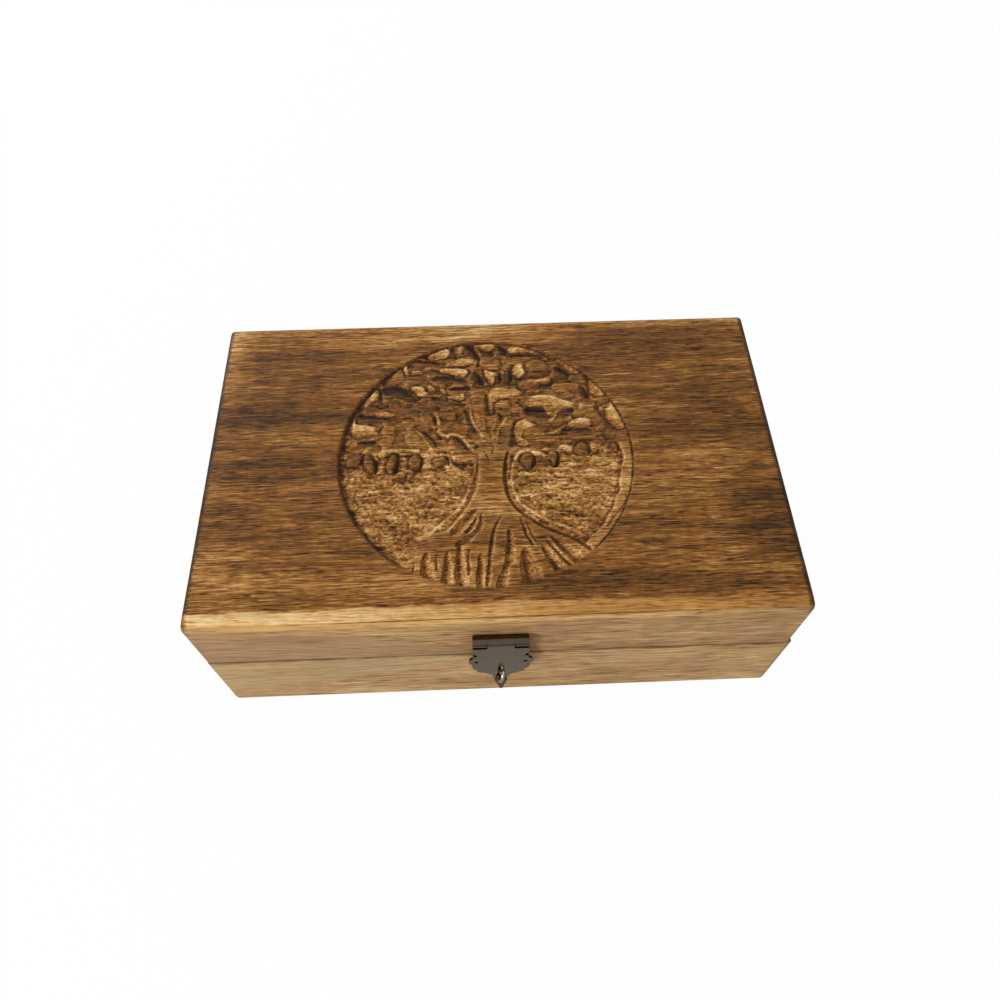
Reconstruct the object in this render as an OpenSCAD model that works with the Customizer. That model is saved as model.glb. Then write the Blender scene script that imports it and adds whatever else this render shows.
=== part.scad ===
// Carved wooden box with a hinged lid and a hasp.
// A tree in a circle is carved into the lid's top board.
// X runs along the front, Y to the back and Z up.
// The origin is on the underside, below the middle of the lid's width.
// All sizes are in millimetres.

/* [Box] */
// Width of the base along its front
box_w = 254; // [230:1:300]
// Depth of the base from front to back
box_d = 157; // [150:1:200]
// Height of the base up to the seam
base_h = 49; // [40:0.5:75]
// Height of the lid from the seam to the top
lid_h = 39.5; // [32:0.5:60]
// Gap left at the seam between lid and base
seam_gap = 0.5; // [0.4:0.1:0.8]
// Thickness of the front, back and end boards
wall_t = 9; // [8:0.5:12]
// Thickness of the lid's top board
top_t = 7.5; // [5.5:0.5:10]
// Thickness of the bottom panel
bottom_t = 4; // [3:0.5:6]
// Depth of the rebate that holds the bottom panel
rebate = 4.5; // [2:0.5:6]
// Play between the bottom panel and its rebate
panel_play = 0.1; // [0.05:0.05:0.3]
// How far the lid's front stands behind the base's front
lid_back_step = 0.3; // [0:0.1:1.5]
// How far the lid's ends stand inside the base's ends
lid_end_step = 0.6; // [0:0.1:1.5]
// How far the base stands to the right of the lid
base_shift = 0.6; // [-1:0.1:1]

/* [Rounded edges] */
// Radius of the four upright corners
corner_r = 1.5; // [0.5:0.5:5]
// Radius of the base's lower edges along the front and back
foot_r = 3; // [1:0.5:5]
// Radius of the base's lower edges along the ends
foot_end_r = 7.5; // [3:0.5:8]
// Radius of the lid's top edge along the front
front_r = 6; // [3:0.5:7]
// Radius of the lid's other top edges
crown_r = 3.5; // [2:0.5:5]
// Radius of the edges along the seam
seam_r = 0.5; // [0.3:0.1:1.5]

/* [Carving] */
// Outer radius of the carved circle
medal_r = 65.6; // [50:0.2:68]
// Place of the carved circle's middle, left or right of the lid's middle
medal_x = -3.4; // [-15:0.2:15]
// Place of the carved circle's middle, in front of or behind the lid's middle
medal_y = -1; // [-3:0.2:3]
// Half width of the round-bottomed groove along the circle
groove_r = 1.1; // [0.6:0.1:1.5]
// Depth of the plain ground beside the trunk
ground_depth = 1.6; // [0.8:0.1:2.2]
// Depth of the ground between the leaves of the crown
crown_depth = 2.3; // [1:0.1:3]
// Depth of the knife cut down the middle of each leaf
vein_depth = 0.6; // [0.3:0.1:0.8]
// Width of that cut at its middle
vein_w = 0.9; // [0.6:0.1:1.2]

/* [Hinges] */
// Distance of each hinge's middle from the lid's end
hinge_from_end = 50.4; // [36:0.2:60]
// Length of each hinge
hinge_len = 25; // [18:1:32]
// Thickness of the hinge leaves
leaf_t = 1; // [0.8:0.1:1.2]
// Width of a hinge leaf from the pin's middle
leaf_w = 6.2; // [5.4:0.1:6.4]
// Outer radius of the hinge knuckles
barrel_r = 2; // [1.8:0.1:2.2]
// Radius of the hinge pins
pin_r = 1; // [0.8:0.05:1.1]
// Running clearance between a pin and its knuckles, as a radius
pin_play = 0.05; // [0.03:0.01:0.08]
// Gap between neighbouring knuckles, and round a knuckle
knuckle_gap = 0.3; // [0.2:0.05:0.4]
// Distance of the pin's middle in front of the base's back face
hinge_inset = 2.2; // [2:0.1:2.6]
// Slope of the bevels along the back of the seam, which stop the open lid
stop_bevel = 50; // [46:1:55]
// Length of the hinge screws
screw_len = 8; // [6:0.5:12]
// Radius of the hinge screws
screw_r = 0.8; // [0.6:0.05:0.9]

/* [Hasp] */
// Width of the hasp at its knuckles and shoulders
hasp_w = 23.4; // [22:0.2:26]
// Height of the hasp's pin above the middle of the seam
hasp_rise = 20.75; // [18:0.25:22]
// Length of the hasp from its pin to its tip
hasp_len = 42; // [41:0.2:45]
// Outer radius of the hasp's knuckles
hasp_barrel_r = 2.4; // [2.2:0.1:2.6]
// Thickness of the hasp's sheet metal
hasp_t = 1.2; // [1:0.1:1.3]
// Gap between the middle knuckle and the lid's front
hasp_gap = 0.3; // [0.3:0.05:0.5]
// Width of the middle knuckle
mid_knuckle_w = 11.2; // [9:0.2:13]
// Height of the fixed leaf, from the pin down
fixed_leaf_h = 11; // [9:0.5:13]
// Half width over the hasp's ears
ear_reach = 13.8; // [13.2:0.1:14.4]
// Play between the slot's sides and the staple
slot_side_play = 0.35; // [0.3:0.05:0.5]
// Play between the slot's ends and the staple
slot_play = 0.8; // [0.6:0.1:1.2]
// How far the tip is bent outwards
tip_bend = 1.8; // [1:0.1:2.6]

/* [Staple] */
// Distance of the staple's middle below the hasp's pin
staple_drop = 32.4; // [31.8:0.1:32.8]
// Radius of the staple's wire
wire_r = 0.8; // [0.7:0.05:0.9]
// Radius of the bend in the staple's middle line
loop_r = 3.2; // [3:0.05:3.3]
// How far the middle of the bend stands in front of the base
loop_reach = 5.1; // [4.8:0.1:6.5]
// Turn of the staple about its own middle
loop_turn = 16; // [0:1:18]
// Depth of the staple's prongs in the wood
prong_len = 6; // [4:0.5:7]
// Width of the staple's plate
staple_plate_w = 9; // [8:0.5:11]
// Height of the staple's plate
staple_plate_h = 20; // [18:0.5:24]
// Thickness of the staple's plate
staple_plate_t = 1; // [0.8:0.1:1.2]
// Radius of the nails' shanks
nail_r = 0.7; // [0.5:0.05:0.8]
// Radius of the nails' heads
nail_head_r = 1.5; // [1.2:0.1:1.8]
// Length of the nails under the head
nail_len = 7; // [5:0.5:8]

/* [Hidden] */
$fn = 64;

// Spare length of a cutter past the face that it leaves
over = 1;
seam_z = base_h + seam_gap / 2;
lid_z = base_h + seam_gap;
top_z = lid_z + lid_h;
rail_top = top_z - top_t;

base_lo = [base_shift - box_w / 2, -box_d / 2, 0];
base_hi = [base_shift + box_w / 2, box_d / 2, base_h];
lid_lo = [-box_w / 2 + lid_end_step, -box_d / 2 + lid_back_step, lid_z];
lid_hi = [box_w / 2 - lid_end_step, box_d / 2 - lid_end_step, top_z];

// The hinge axis lies in the middle of the seam, inside the back face
axis_y = box_d / 2 - hinge_inset;
hinge_x = lid_hi.x - hinge_from_end;
knuckles = 5;
knuckle_len = hinge_len / knuckles;
screw_y = axis_y - (barrel_r + leaf_w) / 2;
screw_step = hinge_len * 0.56;
head_t = leaf_t * 0.8;
head_r = screw_r + head_t;
cut_play = 0.05;

// The hasp's axis stands in front of the lid
hasp_y = lid_lo.y - hasp_gap - hasp_barrel_r;
hasp_z = seam_z + hasp_rise;
hasp_front = hasp_y - hasp_barrel_r;
hasp_pin_r = hasp_barrel_r - hasp_t - pin_play;
staple_z = hasp_z - staple_drop;
slot_w = 2 * (loop_r * sin(loop_turn) + wire_r + slot_side_play);
tip_r = 2.95;
shoulder_z = hasp_z - hasp_barrel_r - knuckle_gap;
bend_z = hasp_z - staple_drop - loop_r - wire_r - slot_play - 1;

// The carving is drawn at this radius and scaled to the one asked for
drawn_r = 65.6;

// The waste outside a rounded corner: a small square less a circle
module corner_waste(at, into, r) {
    difference() {
        translate([at.x - (into.x > 0 ? over : r), at.y - (into.y > 0 ? over : r)])
            square(r + over);
        translate([at.x + into.x * r, at.y + into.y * r]) circle(r);
    }
}

// A rectangle with its own radius at each corner: lower left, lower right, upper right, upper left
module soft_rect(lo, hi, r) {
    difference() {
        translate(lo) square([hi.x - lo.x, hi.y - lo.y]);
        corner_waste(lo, [1, 1], r[0]);
        corner_waste([hi.x, lo.y], [-1, 1], r[1]);
        corner_waste(hi, [-1, -1], r[2]);
        corner_waste([lo.x, hi.y], [1, -1], r[3]);
    }
}

// Turns a flat profile drawn in Y and Z into a bar along X
module along_x(x0, x1) {
    rotate([90, 0, 90]) translate([0, 0, x0]) linear_extrude(x1 - x0) children();
}

// Turns a flat profile drawn in X and Z into a bar along Y
module along_y(y0, y1) {
    rotate([90, 0, 0]) translate([0, 0, -y1]) linear_extrude(y1 - y0) children();
}

// A block between two corners
module block(lo, hi) {
    translate(lo) cube(hi - lo);
}

// A block whose plan, end and front profiles are all rounded
module soft_block(lo, hi, end_r, side_r) {
    intersection() {
        translate([0, 0, lo.z - over]) linear_extrude(hi.z - lo.z + 2 * over)
            soft_rect([lo.x, lo.y], [hi.x, hi.y], [for (i = [0:3]) corner_r]);
        along_x(lo.x - over, hi.x + over) soft_rect([lo.y, lo.z], [hi.y, hi.z], end_r);
        along_y(lo.y - over, hi.y + over) soft_rect([lo.x, lo.z], [hi.x, hi.z], side_r);
    }
}

// The outside of the base before its boards are parted, with the stop bevel cut
module base_shape() {
    difference() {
        soft_block(base_lo, base_hi, [foot_r, foot_r, seam_r, seam_r],
            [foot_end_r, foot_end_r, seam_r, seam_r]);
        along_x(-box_w, box_w) bevel_waste(base_h, -1);
    }
}

// The outside of the lid before its boards are parted, with the stop bevel cut
module lid_shape() {
    difference() {
        soft_block(lid_lo, lid_hi, [seam_r, seam_r, crown_r, front_r],
            [seam_r, seam_r, crown_r, crown_r]);
        along_x(-box_w, box_w) bevel_waste(lid_z, 1);
    }
}

// The wedge of wood cut away behind the hinge axis
module bevel_waste(z, up) {
    reach = hinge_inset + over;
    polygon([[axis_y, z], [axis_y + reach, z + up * reach * tan(stop_bevel)],
        [axis_y + reach, z]]);
}

// Places its children at both hinges
module at_hinges() {
    for (side = [-1, 1]) translate([side * hinge_x, 0, 0]) children();
}

// Places its children at the two screws of a hinge leaf
module at_screws() {
    for (side = [-1, 1]) translate([side * screw_step / 2, screw_y, 0]) children();
}

// The seat of one hinge leaf and its half of the barrel, cut into the wood
module hinge_seat(z, up) {
    half = hinge_len / 2 + cut_play;
    floor_z = z + up * leaf_t;
    block([-half, axis_y - leaf_w - cut_play, min(floor_z, seam_z)],
        [half, axis_y, max(floor_z, seam_z)]);
    translate([-half, axis_y, seam_z]) rotate([0, 90, 0])
        cylinder(h = 2 * half, r = barrel_r + knuckle_gap);
    at_screws() translate([0, 0, up > 0 ? z : z - screw_len - cut_play])
        cylinder(h = screw_len + cut_play, r = screw_r + cut_play);
}

module base_front_board() {
    color("#b48f62") difference() {
        intersection() {
            base_shape();
            block([-box_w, -box_d, 0], [box_w, -box_d / 2 + wall_t, base_h]);
        }
        panel_seat();
        staple_holes();
    }
}

module base_back_board() {
    color("#a98457") difference() {
        intersection() {
            base_shape();
            block([-box_w, box_d / 2 - wall_t, 0], [box_w, box_d, base_h]);
        }
        panel_seat();
        at_hinges() hinge_seat(base_h, -1);
    }
}

module base_end_board(x0) {
    difference() {
        intersection() {
            base_shape();
            block([x0, base_lo.y + wall_t, 0], [x0 + wall_t, base_hi.y - wall_t, base_h]);
        }
        panel_seat();
    }
}

module base_left_board() {
    color("#8d6a45") base_end_board(base_lo.x);
}

module base_right_board() {
    color("#8d6a45") base_end_board(base_hi.x - wall_t);
}

// The rebate under the boards, open to the underside
module panel_seat() {
    inset = wall_t - rebate;
    block([base_lo.x + inset, base_lo.y + inset, -over],
        [base_hi.x - inset, base_hi.y - inset, bottom_t]);
}

module base_bottom_panel() {
    inset = wall_t - rebate + panel_play;
    color("#c49a68") block([base_lo.x + inset, base_lo.y + inset, 0],
        [base_hi.x - inset, base_hi.y - inset, bottom_t]);
}

// The two long rails run the full width and the end rails fit between them
module lid_long_rail(y0, y1) {
    intersection() {
        lid_shape();
        block([-box_w, y0, lid_z], [box_w, y1, rail_top]);
    }
}

module lid_front_rail() {
    color("#b88e5e") difference() {
        lid_long_rail(lid_lo.y - over, lid_lo.y + wall_t);
        fixed_leaf_holes();
    }
}

module lid_back_rail() {
    color("#a98457") difference() {
        lid_long_rail(lid_hi.y - wall_t, lid_hi.y + over);
        at_hinges() hinge_seat(lid_z, 1);
    }
}

module lid_end_rail(side) {
    x = side * (lid_hi.x - wall_t / 2);
    intersection() {
        lid_shape();
        block([x - wall_t / 2, lid_lo.y + wall_t, lid_z],
            [x + wall_t / 2, lid_hi.y - wall_t, rail_top]);
    }
}

module lid_left_rail() {
    color("#8d6a45") lid_end_rail(-1);
}

module lid_right_rail() {
    color("#8d6a45") lid_end_rail(1);
}

module lid_top_board() {
    color("#8a5c33") difference() {
        intersection() {
            lid_shape();
            block([-box_w, -box_d, rail_top], [box_w, box_d, top_z + over]);
        }
        translate([medal_x, medal_y, top_z]) carving();
    }
}

// A point on a curve with four control points
function curve(p, t) = pow(1 - t, 3) * p[0] + 3 * t * pow(1 - t, 2) * p[1]
    + 3 * t * t * (1 - t) * p[2] + pow(t, 3) * p[3];

// The direction square to that curve
function beside(p, t) = let (
        d = 3 * pow(1 - t, 2) * (p[1] - p[0]) + 6 * t * (1 - t) * (p[2] - p[1])
            + 3 * t * t * (p[3] - p[2])
    ) [-d.y, d.x] / norm(d);

// A limb of the tree, as wide as w0 at its root and w1 at its end
module limb(p, w0, w1) {
    steps = 7;
    left = [for (i = [0:steps]) let (t = i / steps)
        curve(p, t) + beside(p, t) * (w0 + (w1 - w0) * t) / 2];
    right = [for (i = [steps:-1:0]) let (t = i / steps)
        curve(p, t) - beside(p, t) * (w0 + (w1 - w0) * t) / 2];
    polygon(concat(left, right));
}

// Radius of the two arcs that bound a leaf
function leaf_arc(len, wide) = (len * len + wide * wide) / (4 * wide);

// A leaf is where two discs cross
module leaf(len, wide) {
    r = leaf_arc(len, wide);
    intersection() {
        translate([0, r - wide / 2]) circle(r);
        translate([0, wide / 2 - r]) circle(r);
    }
}

// A chisel cut pointed at both ends: the narrow waist of a turned arc
module chisel_cut(len, wide) {
    r = leaf_arc(len, wide);
    rotate([0, 90, 0]) rotate_extrude() intersection() {
        translate([wide / 2 - r, 0]) circle(r);
        translate([0, -len]) square([wide, 2 * len]);
    }
}

// Trunk and roots, left between two round fields
module trunk() {
    difference() {
        polygon([[-34.5, -58.5], [-22.8, -37.8], [-10, -6], [-6, -1], [0, 3], [7, 4],
            [13, 3], [13, -8], [27.2, -37.8], [44.5, -49.5], [44.5, -66], [-34.5, -66]]);
        translate([-32.1, -9.5]) circle(28.3);
        translate([34.4, -13]) circle(26.4);
    }
}

// Arms and branches: four control points, width at the root, width at the end
limbs = [
    [[[-4, -3], [-14, 2], [-31, 4], [-63, 2]], 5, 1.8],
    [[[6, 0], [18, 3.5], [40, 4], [64, 6]], 5.5, 2],
    [[[-2.8, -3.7], [-6.5, 3.8], [-8.6, 11], [-15.3, 11.8]], 3.4, 2.2],
    [[[-15, 11.7], [-22, 13.8], [-22.8, 18], [-23.6, 23]], 2.2, 1.7],
    [[[-23.4, 21], [-23.5, 27], [-26.9, 26.4], [-29.5, 24]], 1.8, 1.3],
    [[[-23.6, 3.5], [-27, 9.7], [-31, 15.5], [-34, 15.5]], 2.2, 1.9],
    [[[-33.6, 15.6], [-36.5, 15], [-37.8, 10.5], [-41.5, 8.8]], 1.9, 1.5],
    [[[0, 4], [-1, 10], [-7.4, 19], [-7.4, 29]], 2, 2.5],
    [[[-7.4, 28], [-7.4, 31.3], [-6.8, 33.8], [-6.3, 36]], 2.5, 3],
    [[[-7.2, 29.7], [-10, 31], [-12, 31.3], [-17, 33.6]], 2.4, 1.7],
    [[[-0.5, 3], [-1.9, 18.8], [-1.9, 26.3], [-0.8, 36]], 2.6, 5.5],
    [[[2.8, 3], [2.2, 16.3], [3.9, 21.3], [6.8, 25.5]], 2.6, 1.8],
    [[[4.5, 2], [4.7, 8], [6.4, 14.7], [9.9, 20]], 2.6, 1.6],
    [[[9, 3], [15, 7], [26, 8], [35, 13.5]], 2.4, 1.2]
];

// Leaves: middle, length, width and the angle of the stalk's line
leaves = [
    [[-59, 0.7], 9.5, 5.2, 25], [[-51.5, -2.5], 10, 6.2, -72], [[-41.5, -2.5], 11, 6, 76],
    [[-31, -2.3], 9, 6.8, -60], [[-19, -2.2], 9, 5.4, -40], [[18.3, -3], 9.6, 6, -80],
    [[30.6, -2], 11.5, 6.2, -60], [[43.5, 2], 10, 7, -48], [[53, 1], 9, 4.6, -62],
    [[-21.9, 58], 17, 8, 24], [[-11, 62], 8, 5, 62], [[0.6, 62.3], 19, 8, 0],
    [[21, 60.3], 22, 8, -22], [[39.5, 49.5], 19, 10, -48], [[51.6, 35.8], 16, 8.5, -58],
    [[58, 18.8], 16, 8.5, -66], [[29.7, 26.5], 25, 13, 12], [[41.4, 14.8], 19, 8, 8],
    [[15.6, 14.6], 16, 7.6, 66], [[24.7, 38.8], 16, 6.2, 32], [[16.4, 46.3], 14, 8, 72],
    [[3.1, 45], 13, 8, -38], [[-11.2, 45.5], 16, 7, -12], [[-14.4, 52.4], 13, 5.4, 10],
    [[-31, 43.6], 12, 5.4, -8], [[-29.9, 36.3], 13, 6.4, -42], [[-46, 24.3], 14, 5.6, -15],
    [[-50, 34.8], 11, 5.2, 66], [[-36.5, 50.8], 13, 6.4, 58], [[-56, 16.3], 12, 6, -12],
    [[-44.6, 15.6], 9, 5, 80], [[9.4, 29.5], 9.5, 6, 10], [[-20.8, 36], 10, 5, -68],
    [[-9.5, 38.8], 9, 4, 4]
];

// Chisel cuts between the roots: middle, length, width, angle
root_cuts = [
    [[-24.9, -54.5], 11, 3, 80], [[-17.8, -54.8], 11, 2.4, 85], [[-10.3, -47], 16, 4, 80],
    [[-4.4, -57], 10, 2.4, 82], [[2.2, -38.7], 13, 2, 75], [[8.1, -45.3], 13, 2.8, 80],
    [[14.7, -56.5], 14, 5, -80], [[25.6, -52.8], 12, 3.4, -62], [[32.2, -47.8], 13, 3.4, -48],
    [[17.2, -38.7], 12, 2, -65], [[-8.6, -32], 12, 3.2, 48]
];

// Everything that stands up to the board's face inside the circle
module raised_tree() {
    trunk();
    for (l = limbs) limb(l[0], l[1], l[2]);
    for (l = leaves) translate(l[0]) rotate(l[3]) leaf(l[1], l[2]);
}

// The cut ground round the tree, drawn at the drawing's own radius
module ground() {
    difference() {
        circle(drawn_r - groove_r);
        raised_tree();
    }
}

// The whole carving as a cutter, with the board's face at height 0
module carving() {
    scale(medal_r / drawn_r) {
        translate([0, 0, -ground_depth]) linear_extrude(ground_depth + over) ground();
        translate([0, 0, -crown_depth]) linear_extrude(crown_depth + over) intersection() {
            ground();
            translate([-drawn_r, 4.5]) square([2 * drawn_r, drawn_r]);
        }
        for (c = root_cuts) translate(c[0]) rotate(c[3]) chisel_cut(c[1], c[2]);
        translate([0, 0, -vein_depth]) linear_extrude(vein_depth + over)
            for (l = leaves) translate(l[0]) rotate(l[3]) leaf(l[1] * 0.7, vein_w);
        // The groove fades where the roots run out over the circle
        rotate(-47) rotate_extrude(angle = 283) translate([drawn_r - groove_r, 0])
            circle(groove_r);
    }
}

// Length of a hinge along X that one knuckle takes, less its share of the gap
module knuckle_zone(i, r, grow) {
    x0 = -hinge_len / 2 + i * knuckle_len;
    translate([x0 + knuckle_gap / 2 - grow, axis_y, seam_z]) rotate([0, 90, 0])
        cylinder(h = knuckle_len - knuckle_gap + 2 * grow, r = r);
}

// One hinge leaf with every second knuckle, starting at the first or second
module hinge_leaf(z, up, first) {
    difference() {
        union() {
            block([-hinge_len / 2, axis_y - leaf_w, min(z, z + up * leaf_t)],
                [hinge_len / 2, axis_y, max(z, z + up * leaf_t)]);
            for (i = [first:2:knuckles - 1]) knuckle_zone(i, barrel_r, 0);
        }
        for (i = [1 - first:2:knuckles - 1])
            knuckle_zone(i, barrel_r + knuckle_gap, knuckle_gap);
        translate([-hinge_len, axis_y, seam_z]) rotate([0, 90, 0])
            cylinder(h = 2 * hinge_len, r = pin_r + pin_play);
        at_screws() screw_shape(z, up, cut_play);
    }
}

// A countersunk screw whose head is flush with the leaf at height z
module screw_shape(z, up, grow) {
    translate([0, 0, z]) rotate([up > 0 ? 0 : 180, 0, 0]) {
        cylinder(h = head_t, r1 = head_r + grow, r2 = screw_r + grow);
        cylinder(h = screw_len, r = screw_r + grow);
    }
}

// A screw with a straight slot in its head
module screw(z, up) {
    slot = [2 * head_r + over, 0.4, 0.3];
    difference() {
        screw_shape(z, up, 0);
        translate([0, 0, z]) cube([slot.x, slot.y, 2 * slot.z], center = true);
    }
}

module left_hinge_base_leaf() {
    color("#7a7265") translate([-hinge_x, 0, 0]) hinge_leaf(base_h, -1, 0);
}

module left_hinge_lid_leaf() {
    color("#7a7265") translate([-hinge_x, 0, 0]) hinge_leaf(lid_z, 1, 1);
}

module left_hinge_pin() {
    color("#5d574d") translate([-hinge_x, 0, 0]) hinge_pin();
}

module right_hinge_base_leaf() {
    color("#7a7265") translate([hinge_x, 0, 0]) hinge_leaf(base_h, -1, 0);
}

module right_hinge_lid_leaf() {
    color("#7a7265") translate([hinge_x, 0, 0]) hinge_leaf(lid_z, 1, 1);
}

module right_hinge_pin() {
    color("#5d574d") translate([hinge_x, 0, 0]) hinge_pin();
}

module hinge_pin() {
    translate([-hinge_len / 2, axis_y, seam_z]) rotate([0, 90, 0])
        cylinder(h = hinge_len, r = pin_r);
}

module hinge_base_screws() {
    color("#6b655a") at_hinges() at_screws() screw(base_h, -1);
}

module hinge_lid_screws() {
    color("#6b655a") at_hinges() at_screws() screw(lid_z, 1);
}

// A bar along X round the hasp's axis
module hasp_bar(x0, x1, r) {
    translate([x0, hasp_y, hasp_z]) rotate([0, 90, 0]) cylinder(h = x1 - x0, r = r);
}

module hasp_fixed_leaf() {
    half = mid_knuckle_w / 2 + knuckle_gap;
    color("#696359") difference() {
        union() {
            block([-hasp_w / 2, lid_lo.y - hasp_t, hasp_z - fixed_leaf_h],
                [hasp_w / 2, lid_lo.y, hasp_z]);
            for (side = [-1, 1])
                hasp_bar(side > 0 ? half : -hasp_w / 2, side > 0 ? hasp_w / 2 : -half,
                    hasp_barrel_r);
        }
        hasp_bar(-half, half, hasp_barrel_r + knuckle_gap);
        hasp_bar(-hasp_w, hasp_w, hasp_pin_r + pin_play);
        at_leaf_nails() nail_shape(hasp_t, cut_play);
    }
}

// Places its children on the lid's front at the two nails of the fixed leaf
module at_leaf_nails() {
    for (side = [-1, 1])
        translate([side * hasp_w * 0.3, lid_lo.y, hasp_z - fixed_leaf_h + 3]) children();
}

// Places its children on the base's front at the two nails of the staple's plate
module at_staple_nails() {
    for (side = [-1, 1])
        translate([0, base_lo.y, staple_z + side * (staple_plate_h / 2 - 2.5)]) children();
}

// A nail driven along Y through sheet of thickness t, with a domed head
module nail_shape(t, grow) {
    dome_r = nail_head_r * 1.4;
    rise = dome_r - sqrt(dome_r * dome_r - nail_head_r * nail_head_r);
    rotate([90, 0, 0]) {
        translate([0, 0, t - nail_len]) cylinder(h = nail_len, r = nail_r + grow);
        intersection() {
            translate([0, 0, t + rise - dome_r]) sphere(dome_r);
            translate([0, 0, t]) cylinder(h = rise + over, r = dome_r);
        }
    }
}

module fixed_leaf_holes() {
    at_leaf_nails() nail_shape(hasp_t, cut_play);
}

module hasp_nails() {
    color("#5f594f") at_leaf_nails() nail_shape(hasp_t, 0);
}

module staple_nails() {
    color("#5f594f") at_staple_nails() nail_shape(staple_plate_t, 0);
}

module hasp_pin() {
    color("#514b42") hasp_bar(-hasp_w / 2, hasp_w / 2, hasp_pin_r);
}

// The slot, long enough for the staple over the hasp's whole swing
module slot_shape() {
    reach = loop_r + wire_r + slot_play;
    for (side = [-1, 1])
        translate([0, staple_z + side * (reach - slot_w / 2)]) circle(slot_w / 2);
    translate([-slot_w / 2, staple_z - reach + slot_w / 2])
        square([slot_w, 2 * reach - slot_w]);
}

// The hasp's outline seen from the front, drawn in X and Z
module hasp_outline() {
    ear_r = 4.5;
    lobe_r = 3.4;
    waist = 10.4;
    ogee_r = 8.6;
    neck_z = hasp_z - hasp_len + tip_r;
    ear_z = hasp_z - 17.7;
    lobe_z = ear_z - 6.6;
    notch_z = ear_z + 7.4;
    ogee_top = neck_z + ogee_r;
    difference() {
        union() {
            translate([-hasp_w / 2, ear_z]) square([hasp_w, shoulder_z - ear_z]);
            translate([-waist, neck_z]) square([2 * waist, shoulder_z - neck_z]);
            translate([-mid_knuckle_w / 2, shoulder_z - over])
                square([mid_knuckle_w, hasp_z - shoulder_z + over]);
            translate([0, neck_z]) circle(tip_r);
            for (side = [-1, 1]) {
                translate([side * (ear_reach - ear_r), ear_z]) circle(ear_r);
                translate([side * (ear_reach - 1.4 - lobe_r), lobe_z]) circle(lobe_r);
            }
        }
        for (side = [-1, 1]) {
            translate([side * (tip_r + ogee_r), neck_z]) circle(ogee_r);
            translate([side * (waist + 1.1), ogee_top + 2.2]) circle(1.3);
            translate([side * (ear_reach - 3.3), ear_z - 0.2]) circle(0.95);
            difference() {
                translate([side * (ear_reach - 1.6), notch_z]) circle(2);
                translate([side * (ear_reach - 1.9), notch_z - 1.4]) circle(0.9);
            }
        }
        slot_shape();
    }
}

// The hasp's sheet seen from its end, drawn in Y and Z: flat, then bent out at the tip
module hasp_sheet() {
    // The bend is an arc that leaves the flat part smoothly and ends at the tip
    drop = bend_z - (hasp_z - hasp_len);
    r = (drop * drop + tip_bend * tip_bend) / (2 * tip_bend);
    translate([hasp_front, bend_z]) square([hasp_t, hasp_z - bend_z]);
    intersection() {
        translate([hasp_front - r + hasp_t, bend_z]) difference() {
            circle(r, $fn = 128);
            circle(r - hasp_t, $fn = 128);
        }
        translate([hasp_front - 2 * tip_bend, bend_z - drop - over])
            square([2 * tip_bend + 2 * hasp_t, drop + over]);
    }
}

module hasp_plate() {
    half = mid_knuckle_w / 2;
    color("#6d675c") difference() {
        union() {
            intersection() {
                along_y(hasp_front - 3 * tip_bend, hasp_y) hasp_outline();
                along_x(-hasp_w, hasp_w) hasp_sheet();
            }
            hasp_bar(-half, half, hasp_barrel_r);
        }
        hasp_bar(-hasp_w, hasp_w, hasp_pin_r + pin_play);
    }
}

// The staple stands in a nearly upright plane: two legs and a half ring
module staple_loop() {
    legs = prong_len + loop_reach;
    color("#8a8377") translate([0, base_lo.y, staple_z]) rotate([0, loop_turn, 0])
        rotate([90, 0, 0]) {
            for (side = [-1, 1]) translate([0, side * loop_r, -prong_len])
                cylinder(h = legs, r = wire_r);
            translate([0, 0, loop_reach]) rotate([0, -90, 0]) rotate([0, 0, -90])
                rotate_extrude(angle = 180) translate([loop_r, 0]) circle(wire_r);
        }
}

// The staple's two prong holes in the base's front and the nail holes beside them
module staple_holes() {
    translate([0, base_lo.y, staple_z]) rotate([0, loop_turn, 0]) rotate([90, 0, 0])
        for (side = [-1, 1]) translate([0, side * loop_r, -prong_len - cut_play])
            cylinder(h = prong_len + 2 * over, r = wire_r + cut_play);
    at_staple_nails() nail_shape(staple_plate_t, cut_play);
}

module staple_plate() {
    r = 1.5;
    lo = [-staple_plate_w / 2, staple_z - staple_plate_h / 2];
    hi = [staple_plate_w / 2, staple_z + staple_plate_h / 2];
    color("#696359") difference() {
        along_y(base_lo.y - staple_plate_t, base_lo.y) soft_rect(lo, hi, [r, r, r, r]);
        staple_holes();
    }
}

base_front_board();
base_back_board();
base_left_board();
base_right_board();
base_bottom_panel();
lid_top_board();
lid_front_rail();
lid_back_rail();
lid_left_rail();
lid_right_rail();
left_hinge_base_leaf();
left_hinge_lid_leaf();
left_hinge_pin();
right_hinge_base_leaf();
right_hinge_lid_leaf();
right_hinge_pin();
hinge_base_screws();
hinge_lid_screws();
hasp_fixed_leaf();
hasp_plate();
hasp_pin();
hasp_nails();
staple_plate();
staple_loop();
staple_nails();
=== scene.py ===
"""Carved wooden box: the finish of its boards and hardware, the carved tree, camera, floor and light."""

import math
from types import SimpleNamespace

import bmesh
import bpy
import numpy as np
from bpy.props import FloatProperty, FloatVectorProperty, PointerProperty
from mathutils import Matrix, Vector


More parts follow.
